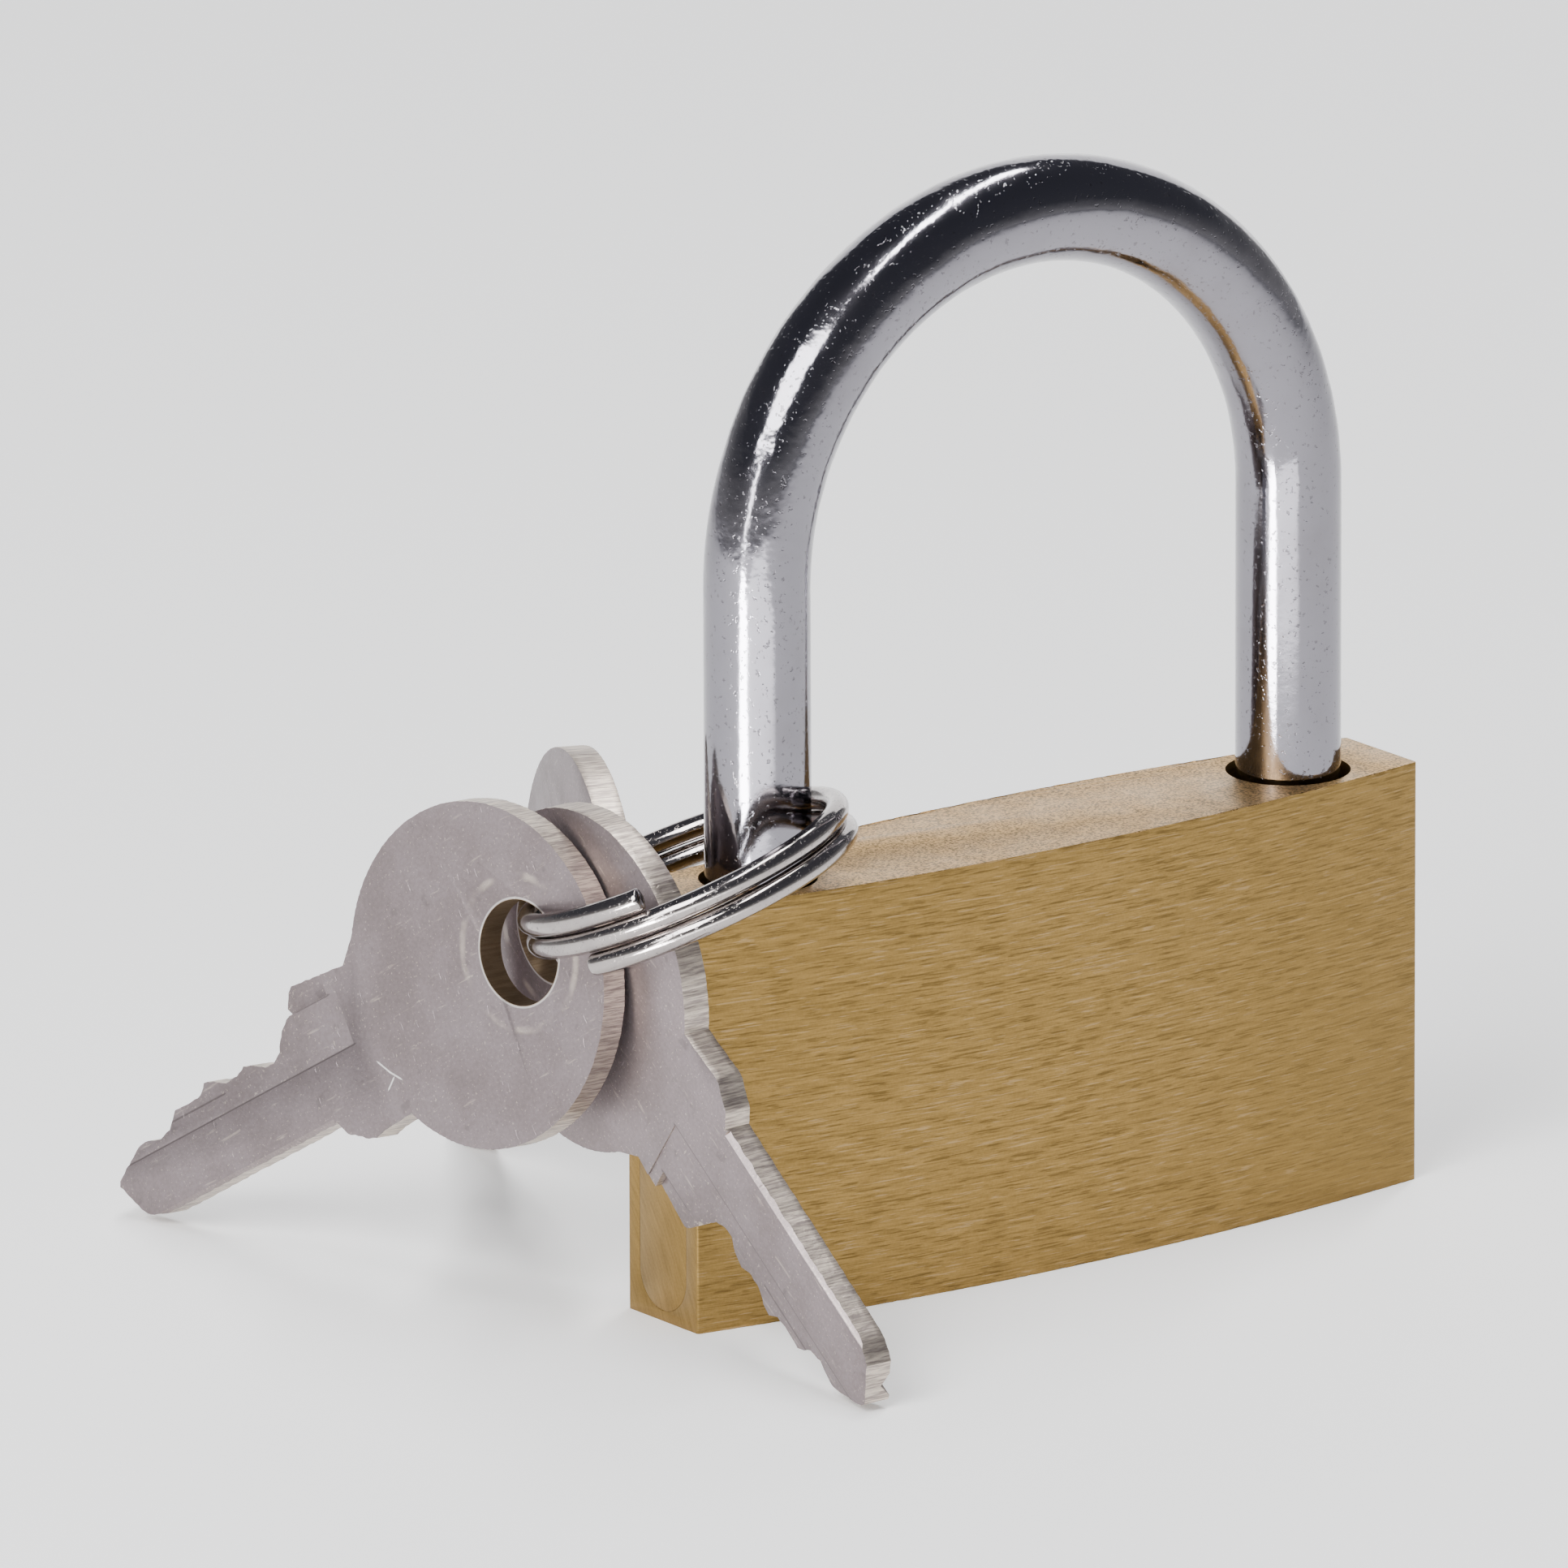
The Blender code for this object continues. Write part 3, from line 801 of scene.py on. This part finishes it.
@dataclass
class LockBody:
    """The solid brass block. All its sizes are in millimetres."""

    width: float
    height: float
    end_depth: float = 6.4
    face_radius: float = 152.0
    corner: float = 0.18
    leg_x: float = 18.4
    toe_hole: float = 3.3
    heel_hole: float = 3.5
    toe_floor: float = 16.2
    heel_floor: float = 1.5
    plug_x: float = -7.5
    plug_hole: float = 4.05
    plug_top: float = 17.8
    bolt_z: float = 20.3
    bolt_hole: float = 1.9
    bolt_hole_end: float = 2.4
    strip_low: float = 2.75
    strip_high: float = 13.4
    strip_radius: float = 2.15
    strip_depth: float = 1.45
    heel_pin_z: float = 19.8
    heel_pin_hole: float = 1.16
    chamber: float = 1.2
    chamber_heights: tuple[float, ...] = (2.75, 5.95, 9.15, 12.35)
    retainer_z: float = 14.65
    retainer_hole: float = 0.75
    pocket: float = 3.3
    pocket_top: float = 20.5
    edge: float = 0.1
    nick: float = 0.09

    @classmethod
    def from_frame(cls) -> "LockBody":
        """Reads the block's width and height from its node."""
        low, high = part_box("lock_body")
        return cls(width=(high[0] - low[0]) / MM, height=(high[2] - low[2]) / MM)

    def half_depth(self, x: float) -> float:
        """Half the block's depth at x."""
        end = self.width / 2
        chord = math.sqrt(self.face_radius**2 - x**2) - math.sqrt(self.face_radius**2 - end**2)
        return self.end_depth / 2 + chord

    def outline(self) -> list[Point2]:
        """The block seen from above."""
        end = self.width / 2
        reach = 90 - math.degrees(math.asin(end / self.face_radius))
        tangent_x = end - self.corner * (1 - math.cos(math.radians(reach)))
        centre_y = self.half_depth(tangent_x) - self.corner * math.sin(math.radians(reach))
        corner = arc((end - self.corner, centre_y), self.corner, 0, reach, 10)
        steps = 140
        face = [tangent_x - 2 * tangent_x * i / steps for i in range(1, steps)]
        back = corner + [(x, self.half_depth(x)) for x in face]
        back += [(-x, y) for x, y in reversed(corner)]
        return back + [(-x, -y) for x, y in back]

    def tools(self) -> list[Piece]:
        """The drills and mills that open the block."""
        end, over = self.width / 2 + 1, self.height + 1
        toe, plug, heel = -self.leg_x, self.plug_x, self.leg_x
        bores = [(self.chamber, z) for z in self.chamber_heights]
        bores.append((self.retainer_hole, self.retainer_z))
        drills = [
            (f"side_drill_{number}", radius, (-end, 0, z), (plug - 3, 0, z), 32)
            for number, (radius, z) in enumerate(bores, 1)
        ]
        pin, bolt, roof = self.heel_pin_z, self.bolt_z, self.pocket_top
        drills += [
            ("pocket_drill", self.pocket, (plug, 0, self.plug_top - 1), (plug, 0, roof), 64),
            ("toe_drill", self.toe_hole, (toe, 0, self.toe_floor), (toe, 0, over)),
            ("heel_drill", self.heel_hole, (heel, 0, self.heel_floor), (heel, 0, over)),
            ("plug_drill", self.plug_hole, (plug, 0, -1), (plug, 0, self.plug_top)),
            ("bolt_drill", self.bolt_hole, (-end, 0, bolt), (self.bolt_hole_end, 0, bolt), 64),
            ("pin_drill", self.heel_pin_hole, (heel, 0, pin), (end, 0, pin), 48),
        ]
        strip = stadium(self.strip_low, self.strip_high, self.strip_radius)
        place = end_matrix(-self.width / 2 + self.strip_depth)
        tools = [cylinder(*drill) for drill in drills]
        return [*tools[:-1], prism("strip_mill", strip, 0, end, place), tools[-1]]

    def build(self, finish: Material) -> None:
        """Makes the block, rounds its edges and leaves small nicks on them.

        Args:
            finish: the material that it wears.
        """
        near, far = 4 * self.edge, 10 * self.edge
        rows = (near, far, self.height - far, self.height - near)
        block_piece = prism("body_block", self.outline(), 0, self.height, None, rows)
        carve(block_piece, self.tools())
        soften(block_piece, self.edge, 2, 40)
        jolt(block_piece, self._near_edge, 2.2, self.nick, 4.0)
        smooth(block_piece)
        settle(block_piece, finish, "root", "lock_body")

    def _near_edge(self, place: Vector) -> float:
        """One on the long top and bottom edges, and nothing away from them."""
        if abs(place.x) >= self.width / 2 - 1:
            return 0.0
        to_face = abs(abs(place.y) - self.half_depth(place.x))
        to_end = min(place.z, self.height - place.z)
        return 1.0 if max(to_face, to_end) < 2 * self.edge else 0.0


def end_matrix(x: float) -> Matrix:
    """Carries local X to -Y, local Y to +Z and local Z to -X, at a point on the left end."""
    turn = Matrix(((0, 0, -1, 0), (-1, 0, 0, 0), (0, 1, 0, 0), (0, 0, 0, 1)))
    return Matrix.Translation((x * MM, 0, 0)) @ turn


@dataclass
class Closures:
    """The strip, the plug and the pin that close the block's side holes."""

    body: LockBody
    gap: float = 0.015
    strip_thickness: float = 1.4
    bore_plug_length: float = 3.2
    pin_radius: float = 1.1
    pin_length: float = 4.3
    inset: float = 0.02
    edge: float = 0.012

    def build(self, finish: Material, pin_finish: Material) -> None:
        """Makes all three, flush with the block's ends.

        Args:
            finish: the strip's and the plug's material.
            pin_finish: the pin's material.
        """
        body, end = self.body, self.body.width / 2
        outline = stadium(body.strip_low, body.strip_high, body.strip_radius - self.gap)
        place = end_matrix(-end + self.strip_thickness)
        strip = prism("cover_strip", outline, 0, self.strip_thickness, place)
        z, face, tail = body.bolt_z, -end + self.inset, -end + self.bore_plug_length
        bore = cylinder("bore_plug", body.bolt_hole - self.gap, (face, 0, z), (tail, 0, z), 64)
        z, face, tail = body.heel_pin_z, end - self.inset, end - self.pin_length
        pin = cylinder("heel_pin", self.pin_radius, (tail, 0, z), (face, 0, z), 48)
        for piece, node, material, slot in (
            (strip, "pin_cover_strip", finish, "body_brass"),
            (bore, "bolt_bore_plug", finish, "body_brass"),
            (pin, "shackle_retaining_pin", pin_finish, "works_brass"),
        ):
            soften(piece, self.edge)
            smooth(piece)
            settle_in_place(piece)
            settle(piece, material, "root", node)


@dataclass
class Plug:
    """The key's cylinder, which shows in the block's underside."""

    x: float = -7.5
    radius: float = 3.9
    low: float = 0.05
    high: float = 17.5
    keyway_half: float = 2.95
    keyway_width: float = 2.05
    keyway_top: float = 16.8
    ward_x: float = 0.9
    ward_half: float = 0.45
    pin_hole: float = 1.2
    pin_heights: tuple[float, ...] = (2.75, 5.95, 9.15, 12.35)
    groove_z: float = 14.65
    groove_half: float = 0.85
    groove_depth: float = 0.55
    drive_offset: float = 2.2
    drive_radius: float = 0.8
    drive_top: float = 20.1
    edge: float = 0.06

    def build(self, finish: Material) -> None:
        """Makes the plug with its keyway, its pin holes and its drive pin."""
        low, high = (self.x, 0, self.low), (self.x, 0, self.high)
        barrel = cylinder("plug_barrel", self.radius, low, high, 112)
        foot = (self.x, -self.drive_offset, self.high - 1)
        head = (self.x, -self.drive_offset, self.drive_top)
        carve(barrel, [cylinder("drive_pin", self.drive_radius, foot, head, 32)], "UNION")
        half, wide, ward = self.keyway_half, self.keyway_width / 2, self.ward_half
        keyway = [(-half, -wide), (half, -wide), (half, wide), (self.ward_x + ward, wide)]
        keyway += [(self.ward_x + ward, wide - ward), (self.ward_x - ward, wide - ward)]
        keyway += [(self.ward_x - ward, wide), (-half, wide)]
        slot = prism("keyway", keyway, -1, self.keyway_top, Matrix.Translation((self.x * MM, 0, 0)))
        tools = [slot]
        for number, z in enumerate(self.pin_heights, 1):
            ends = (self.x - self.radius - 1, 0, z), (self.x - 0.2, 0, z)
            tools.append(cylinder(f"pin_hole_{number}", self.pin_hole, *ends, 32))
        carve(barrel, [*tools, self._groove_tool()])
        soften(barrel, self.edge)
        smooth(barrel)
        settle(barrel, finish, "plug", "plug")

    def _groove_tool(self) -> Piece:
        """A washer that turns the retaining groove."""
        low, high = self.groove_z - self.groove_half, self.groove_z + self.groove_half
        return washer((self.x, 0), low, high, self.radius + 1, self.radius - self.groove_depth)


# ---- Shackle and ring ----


@dataclass
class Shackle:
    """The bent rod. All its sizes are in millimetres."""

    leg_x: float = 18.4
    radius: float = 2.96
    arch_z: float = 40.8
    toe_end: float = 16.6
    heel_end: float = 7.4
    notch_floor: float = -17.4
    notch_half: float = 2.0
    bolt_z: float = 20.3
    groove_low: float = 8.4
    groove_high: float = 21.2
    groove_radius: float = 2.05
    edge: float = 0.5
    dent: float = 0.035
    sides: int = 72

    def path(self) -> list[Vector]:
        """The rod's centre line, from the toe to the heel."""
        rise = self.arch_z - self.toe_end
        toe = [Vector((-self.leg_x, 0, self.toe_end + rise * i / 24)) for i in range(24)]
        arch = [Vector((x, 0, z)) for x, z in arc((0, self.arch_z), self.leg_x, 180, 0, 96)]
        fall = self.arch_z - self.heel_end
        heel = [Vector((self.leg_x, 0, self.arch_z - fall * i / 32)) for i in range(1, 33)]
        return toe + arch + heel

    def build(self, finish: Material) -> None:
        """Bends the rod, cuts its notch and its groove, and leaves dents where it was bent.

        Args:
            finish: the material that it wears.
        """
        rod = tube("shackle_rod", self.path(), self.radius, self.sides)
        soften(rod, self.edge, 4, 60)
        jolt(rod, self._on_bend, 0.9, self.dent, 2.0)
        low = (self.notch_floor, -4, self.bolt_z - self.notch_half)
        notch = block("notch", low, (-self.leg_x + 4, 4, self.bolt_z + self.notch_half))
        groove = (self.leg_x, 0), self.groove_low, self.groove_high
        carve(rod, [notch, washer(*groove, self.radius + 1, self.groove_radius)])
        smooth(rod, 38)
        settle(rod, finish, "shackle", "shackle")

    def _on_bend(self, place: Vector) -> float:
        """One on the arch, fading down the legs."""
        return min(1.0, max(0.0, (place.z - self.arch_z + 6) / 8))


@dataclass
class SplitRing:
    """The wound ring that holds the keys. All its sizes are in millimetres."""

    centre: Vector
    hinge: Vector
    normal: Vector
    radius: float = 9.03
    wire: float = 0.65
    pitch: float = 1.35
    start: float = 178.0
    turn: float = 748.0
    steps: int = 360
    sides: int = 28

    def path(self) -> list[Vector]:
        """The wire's centre line, a helix with the winding's pitch."""
        first = self.normal.cross(Vector((0, 0, 1))).normalized()
        second = self.normal.cross(first)
        points = []
        for i in range(self.steps + 1):
            turn = self.turn * i / self.steps
            angle = math.radians(self.start - turn)
            out = first * math.cos(angle) + second * math.sin(angle)
            rise = self.normal * self.pitch * (1 - turn / 360)
            points.append(self.centre + out * self.radius + rise)
        return points

    def build(self, finish: Material) -> None:
        """Winds the wire and breaks the edges of its cut ends.

        Args:
            finish: the material that it wears.
        """
        ring = tube("ring_wire", self.path(), self.wire, self.sides, self.hinge)
        soften(ring, 0.1, 2, 60)
        smooth(ring, 50)
        settle(ring, finish, "ring", "split_ring")


# ---- Keys ----


@dataclass
class Key:
    """One flat key, drawn with its hole at the origin, its blade along +X and its face at z = 0."""

    number: int
    centre: Point3
    blade: Point3
    face: Point3
    thickness: float = 1.65
    bow: float = 9.65
    hole: float = 2.95
    hole_x: float = -3.6
    spine: float = 3.6
    chamfer: float = 0.22
    chamfer_from: float = 3.4
    blade_start: float = 10.6
    blade_end: float = 34.0
    ledge_start: float = 11.4
    ledge_length: float = 3.7
    ledge_top: float = -3.05
    ledge_depth: float = 0.5
    flat_top: float = 0.12
    flat_depth: float = 0.07
    groove_y: float = 1.7
    groove_half: float = 0.55
    groove_depth: float = 0.62
    edge: float = 0.09

    def matrix(self) -> Matrix:
        """Where the key hangs."""
        face = Vector(self.face).normalized()
        blade = Vector(self.blade)
        blade = (blade - face * blade.dot(face)).normalized()
        turn = Matrix((blade, face.cross(blade), face)).transposed().to_4x4()
        return Matrix.Translation((Vector(self.centre) + blade * self.hole_x) * MM) @ turn

    def outline(self) -> list[Point2]:
        """The key's edge, measured from the middle of its bow."""
        bow = arc((0, 0), self.bow, 32, 326, 150)
        shoulder = [(9.4, -4.1), (14.2, -4.6), (14.55, -4.3), (15.0, -3.5), (14.7, -3.05)]
        cuts = [
            (15.6, -2.5), (16.3, -1.5), (17.0, -1.1), (17.7, -1.05), (18.5, -1.55), (19.3, -1.75),
            (20.0, -1.45), (21.0, -1.4), (21.9, -1.85), (22.6, -2.0), (23.2, -1.45), (24.2, -1.35),
            (25.4, -1.45), (26.3, -0.6), (27.2, -0.35), (28.2, -0.6), (28.9, -0.62), (30.0, -0.05),
        ]
        tip = [(31.2, 0.65), (31.35, 0.95), (30.2, 2.9), (29.8, 3.2), (28.8, 3.55)]
        stop = [(13.8, 3.6), (13.3, 4.45), (11.9, 5.25), (11.3, 5.4), (10.8, 5.3)]
        return bow + shoulder + cuts + tip + stop

    def ragged(self) -> list[Point2]:
        """The outline as the punch left it: dense, and uneven by a few hundredths."""
        rough = random.Random(self.number)
        points = []
        for x, y in dense([(x - self.hole_x, y) for x, y in self.outline()], 0.32):
            cut = 0.02 if x < 14 else 0.035
            points.append((x + rough.uniform(-cut, cut), y + rough.uniform(-cut, cut)))
        return points

    def tools(self, matrix: Matrix) -> list[Piece]:
        """The mills that cut the blade's steps and its groove, and the drill for its hole.

        Args:
            matrix: where the key hangs.

        Returns:
            The cutters.
        """
        back = -self.thickness
        start, end = self.blade_start - self.hole_x, self.blade_end - self.hole_x
        spine = self.spine - self.chamfer / 2
        hole = prism("hole_drill", arc((0, 0), self.hole, 0, 356.25, 95), back - 1, 1, matrix)
        ledge_x = self.ledge_start - self.hole_x
        ledge_end = (ledge_x + self.ledge_length, self.ledge_top, 1)
        ledge = block("ledge_mill", (ledge_x, -6, -self.ledge_depth), ledge_end, matrix)
        flat = block("flat_mill", (start, -6, -self.flat_depth), (end, self.flat_top, 1), matrix)
        tilt = Matrix.Translation((0, spine * MM, 0)) @ Matrix.Rotation(math.radians(-45), 4, "X")
        low = (start + self.chamfer_from, -1, -0.5 * self.chamfer)
        chamfer = block("chamfer_mill", low, (end, 1, 1), matrix @ tilt)
        half, deep = self.groove_half, self.groove_depth
        groove_outline = [(0, -half), (deep, 0), (0, half), (-1, half), (-1, -half)]
        lay = Matrix(((0, 0, 1, 0), (0, 1, 0, 0), (1, 0, 0, 0), (0, 0, 0, 1)))
        place = matrix @ Matrix.Translation((start * MM, self.groove_y * MM, back * MM)) @ lay
        groove = prism("groove_mill", groove_outline, 0, end - start, place)
        return [hole, ledge, flat, groove, chamfer]

    def build(self, finish: Material) -> None:
        """Punches the blank, mills it and breaks its edges.

        Args:
            finish: the material that it wears.
        """
        matrix = self.matrix()
        rows = [-self.thickness * share for share in (0.75, 0.5, 0.25)]
        blank = prism(f"key_blank_{self.number}", self.ragged(), -self.thickness, 0, matrix, rows)
        carve(blank, self.tools(matrix))
        soften(blank, self.edge, 2, 50)
        smooth(blank, 30)
        name = f"key_{self.number}"
        settle(blank, finish, name, name)


# ---- Studio ----


def direction(azimuth: float, elevation: float) -> Vector:
    """From the lock towards an azimuth, 0 at the front, and an elevation, in degrees."""
    a, e = math.radians(azimuth), math.radians(elevation)
    return Vector((math.sin(a) * math.cos(e), -math.cos(a) * math.cos(e), math.sin(e)))


def turned_back(toward: Vector, twist: float) -> Matrix:
    """How a lamp or camera out along a direction looks back, twisted by some degrees."""
    return toward.to_track_quat("Z", "Y").to_matrix() @ Matrix.Rotation(math.radians(twist), 3, "Z")


@dataclass
class Lamp:
    """A rectangular studio light, at an azimuth round the lock. Its sizes are in metres."""

    name: str
    azimuth: float
    width: float
    height: float
    brightness: float

    def make(self) -> Piece:
        """Makes the lamp, which still has to be placed."""
        lamp = bpy.data.lights.new(self.name, "AREA")
        lamp.shape = "RECTANGLE"
        lamp.size, lamp.size_y = self.width, self.height
        lamp.energy = self.brightness * math.pi * self.width * self.height
        obj = bpy.data.objects.new(self.name, lamp)
        bpy.context.scene.collection.objects.link(obj)
        return obj


@dataclass
class Softbox(Lamp):
    """A lamp that hangs round the lock and points at it."""

    elevation: float = 0.0
    distance: float = 1.0
    twist: float = 0.0

    def build(self, target: Vector) -> None:
        """Hangs the lamp and aims it at the target."""
        obj = self.make()
        toward = direction(self.azimuth, self.elevation)
        obj.location = target + toward * self.distance
        obj.rotation_euler = turned_back(toward, self.twist).to_euler()


@dataclass
class FloorLamp(Lamp):
    """A lamp that lies on the floor, shines up, and shows only in reflections."""

    near: float = 0.1

    def build(self) -> None:
        """Lays the lamp down so that its width runs away from the lock."""
        obj = self.make()
        away = direction(self.azimuth, 0.0)
        obj.location = away * (self.near + self.width / 2) + Vector((0, 0, MM))
        obj.rotation_euler = (math.pi, 0.0, math.atan2(away.y, away.x))
        obj.visible_camera = False


# Name, azimuth, width, height and brightness, and then where the lamp is
SOFTBOXES = (
    Softbox("window", -68.0, 0.42, 0.36, 15.0, elevation=38.0, distance=0.7),
    Softbox("panel", -70.0, 0.07, 0.3, 18.0, elevation=10.0, distance=0.8),
    Softbox("overhead", 92.0, 1.2, 0.1, 34.0, elevation=80.0, distance=1.0, twist=-49.0),
    Softbox("backdrop", 143.0, 1.2, 0.8, 1.8, elevation=12.0, distance=1.2),
)
FLOOR_LAMPS = (
    FloorLamp("stripe", -69.0, 0.22, 0.036, 46.0, near=0.085),
    FloorLamp("fill", -40.0, 0.25, 0.14, 3.4, near=0.1),
)

# How bright the sky is at each height, from the horizon up
SKY = (
    (0.0, (0.55, 0.55, 0.55)),
    (0.14, (0.3, 0.3, 0.31)),
    (0.32, (0.11, 0.115, 0.135)),
    (1.0, (0.07, 0.075, 0.095)),
)


@dataclass
class Studio:
    """Floor, sky, lights and camera."""

    azimuth: float = -36.6
    elevation: float = 15.55
    roll: float = 0.2
    distance: float = 1.5
    lens: float = 620.9
    floor_glow: float = 0.22
    target: Vector = Vector((-8.5, 10.9, 25.5)) * MM

    def build(self) -> None:
        """Sets up everything round the lock."""
        self._camera()
        self._floor()
        self._sky()
        for box in SOFTBOXES:
            box.build(self.target)
        for lamp in FLOOR_LAMPS:
            lamp.build()

    def _camera(self) -> None:
        """Stands the camera where it looks down a little on the lock's front and toe end."""
        data = bpy.data.cameras.new("camera")
        data.lens = self.lens
        data.sensor_width = 36.0
        data.clip_start = 0.05
        camera = bpy.data.objects.new("camera", data)
        bpy.context.scene.collection.objects.link(camera)
        toward = direction(self.azimuth, self.elevation)
        turn = turned_back(toward, -self.roll).to_4x4()
        camera.matrix_world = Matrix.Translation(self.target + toward * self.distance) @ turn
        bpy.context.scene.camera = camera

    def _floor(self) -> None:
        """Lays the pale floor."""
        bm = bmesh.new()
        bmesh.ops.create_grid(bm, x_segments=1, y_segments=1, size=4000.0)
        floor = add_object("floor", bm)
        graph = Graph("pale_floor")
        cloud = graph.noise(6.0)
        base = graph.blend(cloud, (0.91, 0.91, 0.91), (0.93, 0.93, 0.93))
        graph.shader.inputs["Emission Color"].default_value = (1.0, 1.0, 1.0, 1.0)
        graph.shader.inputs["Emission Strength"].default_value = self.floor_glow
        dress(floor, graph.finish(base, cloud.step(*WHOLE, 0.6, 0.65), 0.0))

    def _sky(self) -> None:
        """Fills the room with light that is bright at the horizon and dim overhead."""
        world = bpy.data.worlds.new("studio")
        world.use_nodes = True
        bpy.context.scene.world = world
        nodes = Nodes(world.node_tree)
        place = nodes.add("ShaderNodeTexCoord").outputs["Generated"]
        up = nodes.add("ShaderNodeSeparateXYZ", None, {0: place}).outputs["Z"]
        ramp = nodes.add("ShaderNodeValToRGB", {"stops": SKY}, {"Fac": up})
        background = world.node_tree.nodes["Background"]
        nodes.feed(background.inputs["Color"], ramp.outputs["Color"])
        nodes.feed(background.inputs["Strength"], 1.0)


# ---- Assembly ----


# Bright scratches on the nearest key's neck, in millimetres from its hole
NECK_SCRATCHES = (
    ((12.9, 1.7), (12.3, 2.5)),
    ((12.3, 2.5), (11.7, 3.1)),
    ((12.8, 3.3), (12.2, 2.9)),
)

KEYS = (
    Key(1, (-30.82, 9.26, 18.7), (-0.195, 0.833, -0.517), (-0.981, -0.174, 0.088)),
    Key(2, (-27.05, 4.72, 18.8), (0.011, -0.795, -0.607), (-1.0, 0.004, -0.024)),
    Key(3, (-21.74, 13.16, 19.36), (0.299, 0.773, -0.560), (-0.931, 0.364, 0.005)),
)


def dress_works(nodes: dict, brass: Material, wire: Material) -> None:
    """Gives the hidden works their materials.

    Args:
        nodes: the frame's nodes, by name.
        brass: for the pins and the bolt.
        wire: for the springs and the plug's retaining pin.
    """
    for name, node in nodes.items():
        if name.startswith(("key_pin", "driver_pin", "locking_bolt")):
            dress(node, brass)
        elif "spring" in name or name == "plug_retaining_pin":
            dress(node, wire)


def main() -> None:
    """Builds the lock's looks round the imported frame."""
    logging.basicConfig(level=logging.INFO, format="%(name)s: %(message)s")
    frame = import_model()
    Studio().build()
    body_brass = BrassFinish("brushed_brass", Grain.BRUSHED_BLOCK).build()
    works_brass = BrassFinish("turned_brass", Grain.TURNED, roughness=0.3).build()
    shackle_plate = PlateFinish("bright_plate", wave_from=0.036).build()
    ring_finish = PlateFinish("ring_plate", (0.40, 0.365, 0.35), roughness=0.1, pit_scale=2600.0)
    nickel = KeyFinish("key_nickel").build()
    scratched = KeyFinish("scratched_nickel", scratches=NECK_SCRATCHES).build()
    body = LockBody.from_frame()
    body.build(body_brass)
    Closures(body).build(body_brass, works_brass)
    Plug().build(works_brass)
    Shackle().build(shackle_plate)
    ring = SplitRing(
        centre=Vector((-22.6, 0.77, 24.92)),
        hinge=Vector((-15.4, 0, 27.7)),
        normal=Vector((-0.259, 0.287, 0.922)).normalized(),
    )
    ring.build(ring_finish.build())
    for key in KEYS:
        key.build(scratched if key.number == 1 else nickel)
    dress_works(frame["nodes"], works_brass, WireFinish("spring_wire").build())


if __name__ == "__main__":
    main()
